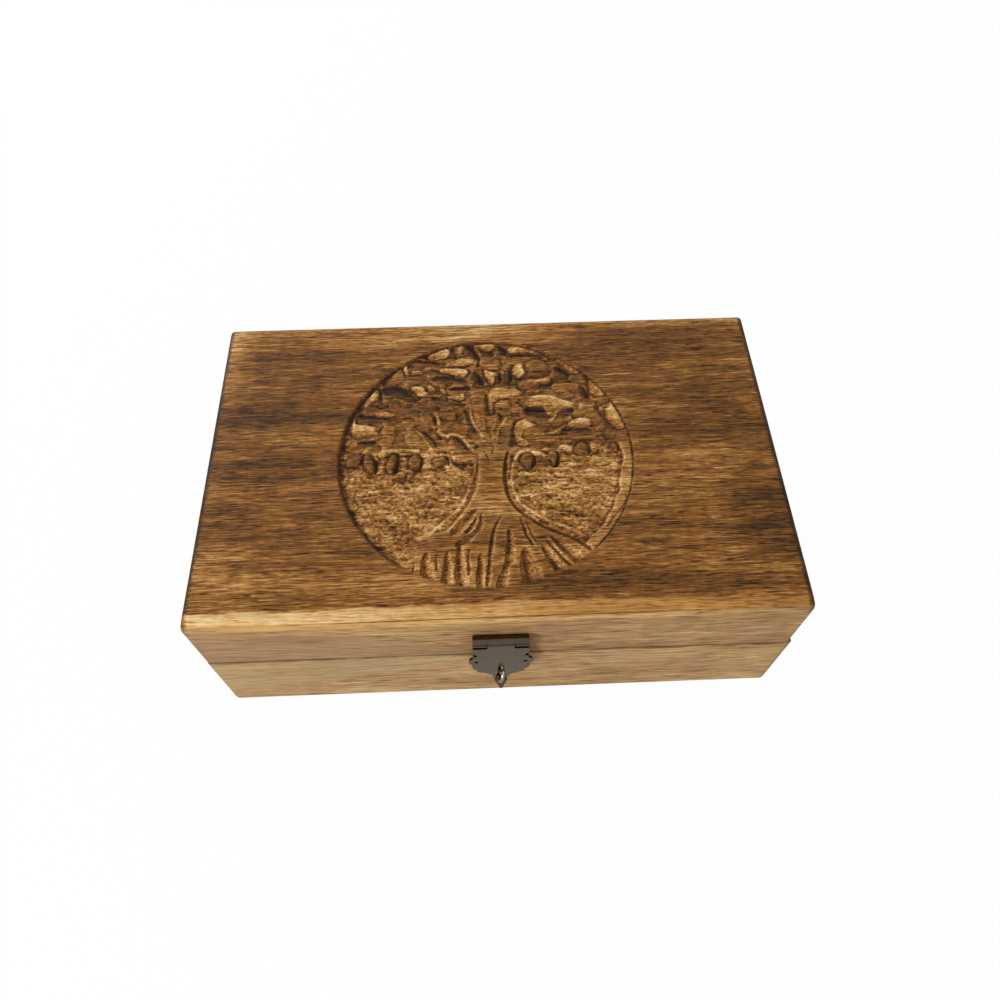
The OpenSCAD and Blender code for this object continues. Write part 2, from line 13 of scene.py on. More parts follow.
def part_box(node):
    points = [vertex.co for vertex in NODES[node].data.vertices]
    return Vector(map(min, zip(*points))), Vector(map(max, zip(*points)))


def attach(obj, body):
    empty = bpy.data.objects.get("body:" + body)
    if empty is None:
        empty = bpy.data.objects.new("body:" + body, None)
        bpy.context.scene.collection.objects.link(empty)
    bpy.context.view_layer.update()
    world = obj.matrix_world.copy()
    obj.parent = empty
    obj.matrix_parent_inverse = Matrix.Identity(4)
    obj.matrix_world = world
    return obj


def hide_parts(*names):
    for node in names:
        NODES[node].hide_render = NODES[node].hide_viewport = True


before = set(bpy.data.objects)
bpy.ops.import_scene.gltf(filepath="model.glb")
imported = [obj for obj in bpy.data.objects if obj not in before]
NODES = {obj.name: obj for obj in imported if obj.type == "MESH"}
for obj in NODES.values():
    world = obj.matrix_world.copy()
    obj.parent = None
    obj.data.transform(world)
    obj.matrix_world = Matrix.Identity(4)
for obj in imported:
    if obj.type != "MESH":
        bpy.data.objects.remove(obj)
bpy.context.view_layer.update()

bl_info = {
    "name": "Carved Tree Box",
    "version": (1, 0, 0),
    "blender": (4, 5, 0),
    "location": "View3D > Sidebar > Carved Box",
    "description": "Dresses a hinged wooden box with a tree carved in its lid",
    "category": "Object",
}

MM = 0.001

# The photograph's camera, solved from the box's own outline: its place in millimetres, the directions of
# its right, up and back, and its lens in pixels of the picture
CAMERA_AT = (-6.26, -205.16, 392.14)
CAMERA_AXES = (
    (0.99920, -0.04005, 0.00180),
    (0.03294, 0.84584, 0.53241),
    (-0.02284, -0.53193, 0.84648),
)
FOCAL = 824.889
PICTURE = 1000
PRINCIPAL = (499.2, 479.9)
SENSOR = 36

# Each lamp's name, place in metres, power in watts and width in metres
LAMPS = (
    ("window light", (-0.95, -0.95, 0.72), 17, 0.5),
    ("fill light", (0.9, -0.5, 1.1), 2.5, 0.9),
    ("back light", (0.1, 1.2, 0.9), 2, 0.9),
    ("raking light", (-0.72, 0.86, 0.42), 5.5, 0.14),
)

# Light that the white room gives, and how white the floor is to the camera and in the box's metal
ROOM_LIGHT = 0.42
FLOOR_SEEN = 0.97
FLOOR_MIRRORED = 0.6

# Heights in metres of the seam and of the foot of the lid's sanded edge, and how far from the middle
# the boards' faces still count as inside the box
SEAM = 0.04925
SANDED_FOOT = 0.0867
BARE_WITHIN = (0.1192, 0.0699, 0.0820)

# Spacing in millimetres of the lid's mesh away from the carving, where the board is plain, and the radius
# of the board's front edge, of its other three edges and of its corners in plan
PLAIN_PITCH = 4
FRONT_ROUND = 6.0
SIDE_ROUND = 3.5
CORNER_ROUND = 1.5

# The front's two planks: shift of the pattern, lightness, share of heartwood and of yellow sapwood, and
# the colour of the flame figure
RAIL_WOOD = ((1.7, 0.2, 0.4), 0.48, 0.6, 0.6, "#917153")
BASE_WOOD = ((4.2, 0.6, 1.3), 0.56, 0.35, 0.0, "#a18a62")


def linear(hex_colour):
    """An sRGB hex colour such as "#a07040" as linear red, green, blue and an alpha of 1."""
    channels = [int(hex_colour[i:i + 2], 16) / 255 for i in (1, 3, 5)]
    return tuple(c / 12.92 if c <= 0.04045 else ((c + 0.055) / 1.055) ** 2.4 for c in channels) + (1.0,)


def length_property(name, description, default, low, high):
    """A length that the panel shows, given here in millimetres and kept in metres."""
    return FloatProperty(name=name, description=description, subtype="DISTANCE", precision=5,
                         default=default * MM, min=low * MM, max=high * MM)


class CarvedBoxSizes(bpy.types.PropertyGroup):
    """Sizes of the carving that a maker would change"""

    pitch: length_property("Mesh pitch", "Spacing of the carved surface's points", 0.48, 0.4, 2)
    circle: length_property("Circle radius", "Outer radius of the carved circle", 65.6, 50, 68)
    middle_x: length_property("Circle across", "Middle of the circle along the front", -3.4, -20, 20)
    middle_y: length_property("Circle back", "Middle of the circle from front to back", -1, -8, 8)
    groove: length_property("Groove half width", "Half width of the groove round the tree", 1.1, 0.5, 2)
    field: length_property("Field depth", "Depth of the ground beside the trunk", 1.5, 0.5, 2.5)
    crown: length_property("Crown depth", "Depth of the ground between the leaves", 1.2, 0.3, 2.5)


def colour_property(name, description, hex_colour):
    """A colour that the panel shows, with its default as a hex value."""
    return FloatVectorProperty(name=name, description=description, subtype="COLOR", size=4, min=0, max=1,
                               default=linear(hex_colour))


class CarvedBoxColours(bpy.types.PropertyGroup):
    """Colours of the wood and the metal"""

    charred: colour_property("Charred", "Wood scorched nearly black, in cuts and along edges", "#2c190b")
    burnt: colour_property("Burnt", "Dark streaks of the flamed face", "#5b3a19")
    face: colour_property("Face", "Middle brown of the flamed face", "#845425")
    golden: colour_property("Golden", "Oiled wood where the flame hardly went", "#b28244")
    fresh: colour_property("Fresh", "Cut wood under the burnt skin", "#e6ca96")
    tan: colour_property("Tan", "Sanded and oiled front", "#a58355")
    blush: colour_property("Blush", "Pinkish heartwood in the front", "#8f6747")
    bare: colour_property("Bare", "Unfinished wood inside the box", "#c2a278")
    hasp: colour_property("Hasp", "Antique plating of the hasp", "#50443a")
    wire: colour_property("Wire", "Bright wire of the staple", "#948d7e")


def new_object(name, data):
    """Links a mesh, lamp or camera as an object that sits at the origin."""
    thing = bpy.data.objects.new(name, data)
    bpy.context.scene.collection.objects.link(thing)
    return thing


def grid_mesh(name, columns, rows, half):
    """A flat square about the middle, cut into columns and rows. Half is half of its side."""
    shell = bmesh.new()
    bmesh.ops.create_grid(shell, x_segments=columns, y_segments=rows, size=half)
    mesh = bpy.data.meshes.new(name)
    shell.to_mesh(mesh)
    shell.free()
    return mesh


def dress(thing, material):
    """Gives a piece one material in place of what it came with."""
    thing.data.materials.clear()
    thing.data.materials.append(material)


def add(tree, kind, inputs=None, out=0, stops=None, **settings):
    """Adds a node with its settings, fills its inputs with values or other outputs, returns one output.
    Inputs go by name or number: those that a Mix node blends are 2 and 3 for values, 6 and 7 for colours."""
    node = tree.nodes.new("ShaderNode" + kind)
    for name, value in settings.items():
        setattr(node, name, value)
    for position, _ in (stops or ())[2:]:
        node.color_ramp.elements.new(position)
    for element, (position, colour) in zip(node.color_ramp.elements if stops else (), stops or ()):
        element.position = position
        element.color = colour
    for key, value in (inputs or {}).items():
        if isinstance(value, bpy.types.NodeSocket):
            tree.links.new(value, node.inputs[key])
        else:
            node.inputs[key].default_value = value
    return node.outputs[out] if node.outputs else node


def blank_material(name):
    """A material with no nodes but the piece's own coordinates: material, its tree, the coordinates."""
    material = bpy.data.materials.new(name)
    material.use_nodes = True
    tree = material.node_tree
    tree.nodes.clear()
    return material, tree, add(tree, "TexCoord", out="Object")


def spots(tree, coords, size, shift, detail=3.0, wander=0.0):
    """A pattern whose soft spots are as long as size says, in millimetres along X, Y and Z."""
    scale = [1 / (s * MM) for s in size]
    placed = add(tree, "Mapping", {"Vector": coords, "Location": shift, "Scale": scale})
    return add(tree, "TexNoise", {"Vector": placed, "Scale": 1.0, "Detail": detail, "Roughness": 0.6,
                                  "Distortion": wander})


def total(tree, middle, parts):
    """Adds weighted patterns, each from 0 to 1, to a middle value."""
    value = middle - sum(weight for pattern, weight in parts) / 2
    for pattern, weight in parts:
        value = add(tree, "Math", {0: pattern, 1: weight, 2: value}, operation="MULTIPLY_ADD")
    return value


def grain(tree, coords, along, shift, strength=1.0, middle=0.44, coarse=1.0):
    """Mango grain along X or Y: bands, streaks, fine lines, curly figure and dark pores. The real lines and
    pores are about 0.3 mm wide and are drawn 0.4 to 0.6 mm wide, or they wouldn't show. coarse widens them
    more, for faces that the camera sees at a slant."""
    def turned(length, across):
        return (length, across, across) if along == "X" else (across, length, across)

    value = total(tree, middle, (
        (spots(tree, coords, turned(110, 10), shift, 3, 0.6), 0.65 * strength),
        (spots(tree, coords, turned(34, 1.9 * coarse), shift, 3, 0.3), 0.45 * strength),
        (spots(tree, coords, turned(19 * coarse, 0.6 * coarse), shift, 2), 0.80 * strength),
        (spots(tree, coords, turned(5 * coarse, 0.42 * coarse), shift, 1), 0.60 * strength),
        (spots(tree, coords, turned(2.4 * coarse, 5 * coarse), shift, 2), 0.18 * strength),
    ))
    pores = spots(tree, coords, turned(7 * coarse, 0.6 * coarse), (5, 2, 7), 1)
    pores = add(tree, "MapRange", {"Value": pores, "From Min": 0.56, "From Max": 0.64,
                                   "To Max": -0.26 * strength})
    return add(tree, "Math", {0: value, 1: pores}, operation="ADD")


def burnt_patches(tree, coords, patches):
    """Soft patches on the board: middle, reach along X and Y in millimetres, and how much lighter."""
    uneven = spots(tree, coords, (22, 9, 9), (4, 8, 2), 3)
    value = 0.0
    for x, y, reach_x, reach_y, lighter in patches:
        placed = add(tree, "Mapping", {"Vector": coords, "Location": (-x / reach_x, -y / reach_y, 0),
                                       "Scale": (1 / (reach_x * MM), 1 / (reach_y * MM), 0)})
        patch = add(tree, "TexGradient", {"Vector": placed}, "Fac", gradient_type="SPHERICAL")
        value = add(tree, "Math", {0: patch, 1: 2.2 * lighter, 2: value}, operation="MULTIPLY_ADD")
    return add(tree, "Math", {0: value, 1: uneven}, operation="MULTIPLY")


def wood_ramp(tree, value):
    """Scorched to fresh: the wood's colour by how light the flame and the chisel left it."""
    colours = bpy.context.scene.carved_box_colours
    return add(tree, "ValToRGB", {"Fac": value}, stops=(
        (0.04, colours.charred), (0.27, colours.burnt), (0.47, colours.face), (0.68, colours.golden),
        (0.98, colours.fresh),
    ))


def bare_wood(tree, value):
    """Sanded and never oiled: pale, by how dark the grain is."""
    colours = bpy.context.scene.carved_box_colours
    return add(tree, "ValToRGB", {"Fac": value}, stops=(
        (0.1, linear("#94704a")), (0.45, colours.bare), (0.85, linear("#dcc49f")),
    ))


def unburnt_inside(tree, coords, value, colour):
    """Keeps the flame's colour to the outer faces: what looks into the box stays bare."""
    pale = add(tree, "MapRange", {"Value": value, "To Min": 0.25, "To Max": 0.75})
    within = 1.0
    for axis, reach in zip("XYZ", BARE_WITHIN):
        away = add(tree, "SeparateXYZ", {"Vector": coords}, axis)
        away = add(tree, "Math", {0: away}, operation="ABSOLUTE")
        near = add(tree, "Math", {0: away, 1: reach}, operation="LESS_THAN")
        within = add(tree, "Math", {0: near, 1: within}, operation="MULTIPLY")
    return add(tree, "Mix", {0: within, 6: colour, 7: bare_wood(tree, pale)}, 2, data_type="RGBA")


def oiled_surface(tree, coords, colour, height, bump_mm, roughness):
    """Closes a wood material: colour, oil that soaked in and shines little and unevenly, pores as bump."""
    uneven = spots(tree, coords, (16, 12, 12), (3, 1, 2), 2)
    shine = add(tree, "MapRange", {"Value": uneven, "From Min": 0.3, "From Max": 0.7,
                                   "To Min": roughness - 0.08, "To Max": roughness + 0.08})
    bump = add(tree, "Bump", {"Height": height, "Strength": 0.7, "Distance": bump_mm * MM})
    shader = add(tree, "BsdfPrincipled", {"Base Color": colour, "Roughness": shine, "Normal": bump,
                                          "Specular IOR Level": 0.12})
    add(tree, "OutputMaterial", {"Surface": shader})


def flame_burnt_mango(name):
    """Mango board scorched with a flame, carved and oiled: brown with pale and charred streaks, golden
    and stippled where the chisel went, pale where the front edge was sanded, sooty along the ends, and
    with light and shade painted into the carving."""
    material, tree, coords = blank_material(name)
    colours = bpy.context.scene.carved_box_colours
    x, y, z = [add(tree, "SeparateXYZ", {"Vector": coords}, axis) for axis in "XYZ"]
    wide = add(tree, "Math", {0: x}, operation="ABSOLUTE")
    ragged = spots(tree, coords, (20, 3, 3), (1, 7, 3), 3)
    patches = burnt_patches(tree, coords, (
        (-102, -4, 40, 15, -0.13), (118, -34, 26, 30, -0.26), (73, 60, 60, 18, -0.16),
        (-92, 25, 40, 16, -0.12), (100, 20, 36, 20, -0.12), (90, -5, 42, 12, 0.16), (85, 46, 16, 6, 0.14),
        (-121, 60, 12, 40, 0.18), (-115, -56, 20, 14, 0.14), (-48, 66, 40, 10, 0.18), (-6, 70, 56, 9, 0.28),
        (60, -62, 70, 11, -0.11),
    ))
    # The back edge is rubbed pale and the front edge was sanded clean along a ragged line, which leaves
    # it paler; towards the left it is paler still, as painted light from that side.
    back = add(tree, "MapRange", {"Value": y, "From Min": 0.071, "From Max": 0.0765, "To Max": 0.20})
    drawn = add(tree, "MapRange", {"Value": wide, "From Min": 0.05, "From Max": 0.12, "To Max": 0.0011})
    line = add(tree, "Math", {0: y, 1: drawn}, operation="ADD")
    line = add(tree, "Math", {0: ragged, 1: 0.006, 2: line}, operation="MULTIPLY_ADD")
    sanded = add(tree, "MapRange", {"Value": line, "From Min": -0.0698, "From Max": -0.0682,
                                    "To Min": 1.0, "To Max": 0.0}, interpolation_type="SMOOTHSTEP")
    # Painted light: the sanded strip is lighter towards the left
    pale = add(tree, "MapRange", {"Value": x, "From Min": -0.12, "From Max": 0.1, "To Min": 0.42,
                                  "To Max": 0.15})
    strip = add(tree, "Math", {0: sanded, 1: pale}, operation="MULTIPLY")
    # The carving's lightness, which holds its painted light and shade, and the stipple of pores and flakes
    # that its fresh ground shows. The real ones are about 0.3 mm wide and are drawn twice as wide, or they
    # wouldn't show.
    tone, cut = [add(tree, "Attribute", out="Fac", attribute_name=name) for name in ("tone", "cut")]
    stipple = 0.0
    for size, shift, least, most, lighter in (((1.5, 0.75, 0.75), (5, 3, 1), 0.53, 0.66, -0.34),
                                              ((2.2, 0.7, 0.7), (2, 6, 3), 0.52, 0.62, 0.16)):
        flecks = add(tree, "MapRange", {"Value": spots(tree, coords, size, shift, 2), "From Min": least,
                                        "From Max": most, "To Max": lighter})
        stipple = add(tree, "Math", {0: flecks, 1: stipple}, operation="ADD")
    stipple = add(tree, "Math", {0: stipple, 1: cut}, operation="MULTIPLY")
    # Cut and sanded wood show half of the flamed grain
    bared = add(tree, "Math", {0: cut, 1: sanded}, operation="MAXIMUM")
    bared = add(tree, "Math", {0: bared, 1: 0.5}, operation="MULTIPLY")
    value = add(tree, "Mix", {0: bared, 2: grain(tree, coords, "X", (0.3, 0.1, 0.7)), 3: 0.43})
    # Soot along the ends, which the flame reached from two sides
    ends = add(tree, "Math", {0: ragged, 1: 0.002, 2: wide}, operation="MULTIPLY_ADD")
    sooty = add(tree, "MapRange", {"Value": ends, "From Min": 0.1240, "From Max": 0.1262, "To Max": -0.34})
    for part in (patches, back, strip, tone, stipple, sooty):
        value = add(tree, "Math", {0: value, 1: part}, operation="ADD")
    # Below the sanded edge the board's front is tan like the rail, with a fine dark line between them
    # that fades to the ends
    rise = add(tree, "Math", {0: ragged, 1: 0.001, 2: z}, operation="MULTIPLY_ADD")
    below = add(tree, "MapRange", {"Value": rise, "From Min": SANDED_FOOT - 0.0001,
                                   "From Max": SANDED_FOOT + 0.0003, "To Min": 1.0, "To Max": 0.0})
    front = add(tree, "Math", {0: y, 1: -0.06}, operation="LESS_THAN")
    below = add(tree, "Math", {0: below, 1: front}, operation="MULTIPLY")
    fine = add(tree, "Math", {0: rise, 1: SANDED_FOOT, 2: 0.00022}, operation="COMPARE")
    fade = add(tree, "MapRange", {"Value": wide, "From Min": 0.055, "From Max": 0.08, "To Min": 0.75,
                                  "To Max": 0.1})
    for part in (front, fade):
        fine = add(tree, "Math", {0: fine, 1: part}, operation="MULTIPLY")
    soot = add(tree, "MapRange", {"Value": ends, "From Min": 0.1244, "From Max": 0.1264, "To Max": 0.5})
    colour = unburnt_inside(tree, coords, value, wood_ramp(tree, value))
    for share, over in ((below, tan_wood(tree, coords, *RAIL_WOOD)), (fine, linear("#3a2414")),
                        (soot, colours.charred)):
        colour = add(tree, "Mix", {0: share, 6: colour, 7: over}, 2, data_type="RGBA")
    pores = spots(tree, coords, (9, 0.6, 0.6), (2, 2, 2), 2)
    pores = add(tree, "Math", {0: stipple, 1: pores}, operation="ADD")
    oiled_surface(tree, coords, colour, pores, 0.16, 0.55)
    return material


def tan_wood(tree, coords, shift, lightness, heartwood, yellow, figure):
    """Colour of the sanded front: tan with faint streaks and heartwood, yellow sapwood near the lid's top."""
    colours = bpy.context.scene.carved_box_colours
    value = grain(tree, coords, "X", shift, 0.8, lightness, 2.0)
    tan = add(tree, "ValToRGB", {"Fac": value}, stops=(
        (0.1, linear("#4f3621")), (0.34, linear("#86633e")), (0.55, colours.tan), (0.85, linear("#cbb080")),
    ))
    heart = spots(tree, coords, (90, 30, 9), (shift[1], shift[0], 4), 3, 0.6)
    heart = add(tree, "MapRange", {"Value": heart, "From Min": 0.48, "From Max": 0.66, "To Max": heartwood})
    x, z = [add(tree, "SeparateXYZ", {"Vector": coords}, axis) for axis in "XZ"]
    rise = add(tree, "Math", {0: x, 1: -0.045, 2: z}, operation="MULTIPLY_ADD")
    rise = add(tree, "Math", {0: value, 1: 0.016, 2: rise}, operation="MULTIPLY_ADD")
    sap = add(tree, "MapRange", {"Value": rise, "From Min": 0.083, "From Max": 0.101, "To Max": yellow},
              interpolation_type="SMOOTHSTEP")
    # Both planks were sawn from one: a flame figure opens to the left from a point on the seam
    reach = add(tree, "Math", {0: x, 1: -1.0, 2: -0.012}, operation="MULTIPLY_ADD", use_clamp=True)
    reach = add(tree, "Math", {0: reach, 1: 0.5}, operation="POWER")
    away = add(tree, "Math", {0: z, 1: -0.050}, operation="ADD")
    away = add(tree, "Math", {0: away}, operation="ABSOLUTE")
    for part, weight in ((reach, -0.115), (heart, 0.006)):
        away = add(tree, "Math", {0: part, 1: weight, 2: away}, operation="MULTIPLY_ADD")
    inner = add(tree, "MapRange", {"Value": away, "From Min": -0.004, "From Max": 0.0, "To Min": 0.5,
                                   "To Max": 0.0})
    # Its year rings lie 4 mm apart, one inside the other, the outer one darkest
    rings = add(tree, "Math", {0: away, 1: 1600.0}, operation="MULTIPLY")
    rings = add(tree, "Math", {0: rings}, operation="SINE")
    rings = add(tree, "Math", {0: rings, 1: inner}, operation="MULTIPLY")
    ring = add(tree, "Math", {0: away}, operation="ABSOLUTE")
    ring = add(tree, "MapRange", {"Value": ring, "From Max": 0.0012, "To Min": 0.35, "To Max": 0.0})
    ring = add(tree, "Math", {0: rings, 1: 0.35, 2: ring}, operation="MULTIPLY_ADD", use_clamp=True)
    colour = tan
    for share, over in ((heart, colours.blush), (sap, linear("#cfa05c")), (inner, linear(figure)),
                        (ring, linear("#6b4a2c"))):
        colour = add(tree, "Mix", {0: share, 6: colour, 7: over}, 2, data_type="RGBA")
    return colour


def sanded_mango(name, wood):
    """Sanded and oiled mango: tan with faint streaks and pinkish heartwood, darker at the ends where the
    flame licked round, with painted shade along the seam."""
    material, tree, coords = blank_material(name)
    x, z = [add(tree, "SeparateXYZ", {"Vector": coords}, axis) for axis in "XZ"]
    uneven = spots(tree, coords, (20, 20, 9), (2, 5, 4), 3)
    wide = add(tree, "Math", {0: x}, operation="ABSOLUTE")
    wide = add(tree, "Math", {0: uneven, 1: 0.003, 2: wide}, operation="MULTIPLY_ADD")
    sooty = add(tree, "MapRange", {"Value": wide, "From Min": 0.1265, "From Max": 0.1295, "To Max": 0.75})
    # Painted shade along the seam between lid and base, a dark band on either side of it
    seam = add(tree, "Math", {0: z, 1: -SEAM}, operation="ADD")
    seam = add(tree, "Math", {0: seam}, operation="ABSOLUTE")
    seam = add(tree, "Math", {0: uneven, 1: 0.003, 2: seam}, operation="MULTIPLY_ADD")
    seam = add(tree, "MapRange", {"Value": seam, "From Min": 0.0016, "From Max": 0.0026, "To Min": 0.55,
                                  "To Max": 0.0})
    colour = tan_wood(tree, coords, *wood)
    for share, over in ((sooty, linear("#4a3524")), (seam, linear("#3f2b18"))):
        colour = add(tree, "Mix", {0: share, 6: colour, 7: over}, 2, data_type="RGBA")
    oiled_surface(tree, coords, colour, spots(tree, coords, (9, 0.6, 0.6), (2, 2, 2), 2), 0.10, 0.6)
    return material


def flamed_side(name, shift, along):
    """Outer boards that were flamed like the top: dark brown and streaked outside, bare inside."""
    material, tree, coords = blank_material(name)
    value = grain(tree, coords, along, shift, 0.9, 0.36)
    colour = unburnt_inside(tree, coords, value, wood_ramp(tree, value))
    oiled_surface(tree, coords, colour, spots(tree, coords, (3, 3, 0.6), (2, 2, 2), 2), 0.10, 0.58)
    return material


def raw_plywood(name):
    """Thin raw panel: pale, with long soft grain and no oil."""
    material, tree, coords = blank_material(name)
    colour = bare_wood(tree, grain(tree, coords, "X", (6, 2, 1), 0.5, 0.55))
    oiled_surface(tree, coords, colour, spots(tree, coords, (9, 0.6, 0.6), (2, 2, 2), 2), 0.06, 0.72)
    return material


def plated_steel(name, colour, roughness, polish=1.25):
    """Stamped steel with antique plating: even grey brown, satin, a little brighter where it is rubbed. The
    plating's grit is about 0.1 mm and is drawn 0.5 mm wide, or it wouldn't show."""
    material, tree, coords = blank_material(name)
    clouds = spots(tree, coords, (4, 4, 4), (1, 2, 3), 3)
    rubbed = [min(1.0, c * polish) for c in colour[:3]] + [1.0]
    tint = add(tree, "MapRange", {"Value": clouds, "From Min": 0.35, "From Max": 0.7})
    tint = add(tree, "Mix", {0: tint, 6: tuple(colour), 7: rubbed}, 2, data_type="RGBA")
    shine = add(tree, "MapRange", {"Value": clouds, "From Min": 0.3, "From Max": 0.7,
                                   "To Min": roughness, "To Max": roughness + 0.08})
    grit = spots(tree, coords, (0.5, 0.5, 0.5), (4, 2, 1), 2)
    bump = add(tree, "Bump", {"Height": grit, "Strength": 0.15, "Distance": 0.02 * MM})
    shader = add(tree, "BsdfPrincipled", {"Base Color": tint, "Metallic": 1.0, "Roughness": shine,
                                          "Normal": bump, "Specular Tint": linear("#fffaec")})
    add(tree, "OutputMaterial", {"Surface": shader})
    return material


def white_paper(name):
    """Matt white paper: shown plain white, with what is left of the box's soft shadow."""
    material, tree, _ = blank_material(name)
    shader = add(tree, "BsdfPrincipled", {"Base Color": linear("#f4f4f2"), "Roughness": 0.9})
    glossy = add(tree, "LightPath", out="Is Glossy Ray")
    seen = add(tree, "Math", {0: add(tree, "LightPath", out="Is Camera Ray"), 1: glossy}, operation="MAXIMUM")
    white = add(tree, "Math", {0: seen, 1: FLOOR_SEEN}, operation="MULTIPLY")
    # The box's metal mirrors a floor a little darker than the plain white that the camera sees
    strength = add(tree, "MapRange", {"Value": glossy, "To Min": 1.0, "To Max": FLOOR_MIRRORED})
    glow = add(tree, "Emission", {"Color": (1, 1, 1, 1), "Strength": strength})
    both = add(tree, "MixShader", {0: white, 1: shader, 2: glow})
    add(tree, "OutputMaterial", {"Surface": both})
    return material


def value_noise(x, y, size_x, size_y, seed):
    """Smooth random heights from 0 to 1 on a lattice of size_x by size_y millimetres."""
    table = np.random.default_rng(seed).random((64, 64))
    u, v = x / size_x + 1000, y / size_y + 1000
    i, j = np.floor(u).astype(int), np.floor(v).astype(int)
    fu, fv = u - i, v - j
    fu, fv = fu * fu * (3 - 2 * fu), fv * fv * (3 - 2 * fv)
    a, b = table[i % 64, j % 64], table[(i + 1) % 64, j % 64]
    c, d = table[i % 64, (j + 1) % 64], table[(i + 1) % 64, (j + 1) % 64]
    return (a * (1 - fu) + b * fu) * (1 - fv) + (c * (1 - fu) + d * fu) * fv


def soften(points, closed=True, rounds=2):
    """Cuts the corners of an outline so that a few points give a smooth one."""
    p = np.array(points, float)
    for _ in range(rounds):
        q = np.roll(p, -1, axis=0) if closed else p[1:]
        r = p if closed else p[:-1]
        inner = np.stack([0.75 * r + 0.25 * q, 0.25 * r + 0.75 * q], 1).reshape(-1, 2)
        p = inner if closed else np.vstack([p[:1], inner, p[-1:]])
    return p


def along_path(path, x, y, closed=False):
    """Distance of each point to a path, how far along it is, 0 to 1, and its side, 1 left and -1 right."""
    ends = np.roll(path, -1, axis=0) if closed else path[1:]
    starts = path if closed else path[:-1]
    best, where, side = np.full(x.shape, 1e9), np.zeros(x.shape), np.ones(x.shape)
    for n, (a, b) in enumerate(zip(starts, ends)):
        d = b - a
        t = np.clip(((x - a[0]) * d[0] + (y - a[1]) * d[1]) / max(d @ d, 1e-9), 0, 1)
        dist = np.hypot(x - a[0] - t * d[0], y - a[1] - t * d[1])
        closer = dist < best
        best = np.where(closer, dist, best)
        where = np.where(closer, (n + t) / len(starts), where)
        side = np.where(closer, np.sign(d[0] * (y - a[1]) - d[1] * (x - a[0])), side)
    return best, where, side


def depth_inside(path, x, y):
    """Distance to a closed outline, positive inside it and negative outside."""
    dist = along_path(path, x, y, True)[0]
    inside = np.zeros(x.shape, bool)
    for a, b in zip(path, np.roll(path, -1, axis=0)):
        crosses = (a[1] > y) != (b[1] > y)
        at = a[0] + (y - a[1]) * (b[0] - a[0]) / np.where(b[1] == a[1], 1e-9, b[1] - a[1])
        inside ^= crosses & (x < at)
    return np.where(inside, dist, -dist)


def step(value, low, high):
    """Smooth step from 0 at low to 1 at high."""
    t = np.clip((value - low) / (high - low), 0, 1)
    return t * t * (3 - 2 * t)


def chisel_marks(x, y, size, seed):
    """Random facets about size millimetres wide: the height of each one's slope, and how light it is."""
    table = np.random.default_rng(seed).random((64, 64, 5))
    i, j = np.floor(x / size).astype(int), np.floor(y / size).astype(int)
    best = np.full(x.shape, 1e9)
    slope, light = np.zeros(x.shape), np.zeros(x.shape)
    for a, b in np.ndindex(3, 3):
        cell = table[(i + a - 1) % 64, (j + b - 1) % 64]
        dx, dy = x - (i + a - 1 + cell[..., 0]) * size, y - (j + b - 1 + cell[..., 1]) * size
        closer = np.hypot(dx, dy) < best
        best = np.where(closer, np.hypot(dx, dy), best)
        slope = np.where(closer, dx * (cell[..., 2] - 0.5) + dy * (cell[..., 3] - 0.5), slope)
        light = np.where(closer, cell[..., 4] - 0.5, light)
    return slope, light


# The carving, in millimetres from the circle's middle, X to the right and Y to the back. First the width
# of the circle's rim, and between which heights the fields turn into the crown.
RIM = 0.8
CROWN_FOOT = (4, 7)

# Leaves that hang from the two limbs, each cut out deeply on its shaded side
HANGING = (
    ((-62, -3.4), (-61.4, -0.4), (-59, 2), (-55.6, 3.2), (-53.8, 2), (-54.4, -0.8), (-57.6, -3.2),
     (-60.4, -4)),
    ((-54.6, 0), (-53.4, 2.4), (-51.4, 2.6), (-49.6, 0), (-48.8, -4.4), (-50.4, -7.4), (-53, -6.4)),
    ((-44.8, -4.4), (-43.4, 0), (-41, 2.8), (-39.4, 1.6), (-39.4, -4), (-41.2, -8.2), (-44, -7.8)),
    ((-34.8, -3.6), (-33.8, 0.6), (-31, 2), (-29, 0.6), (-28.4, -3.4), (-30.4, -6.4), (-33.6, -5.8)),
    ((-24, -1.4), (-21.4, 0.4), (-18.4, -0.2), (-17.4, -3), (-19.4, -5), (-23, -4.2)),
    ((14.6, -2.4), (16, 0.6), (19, 1), (20.8, -1), (20.8, -5), (18.6, -7.8), (15.8, -5.8)),
    ((26.4, 0), (29.4, 2.4), (31.6, 0.4), (31.8, -4), (30.2, -6), (28.4, -3.4)),
    ((39.2, 3), (41.6, 6.2), (45, 6.2), (46.4, 3), (45.4, -1), (43, -1.8), (40.2, 0)),
    ((55.4, 4), (57.4, 5.4), (59.4, 2.4), (58.6, 0), (56.4, 1.2)),
)

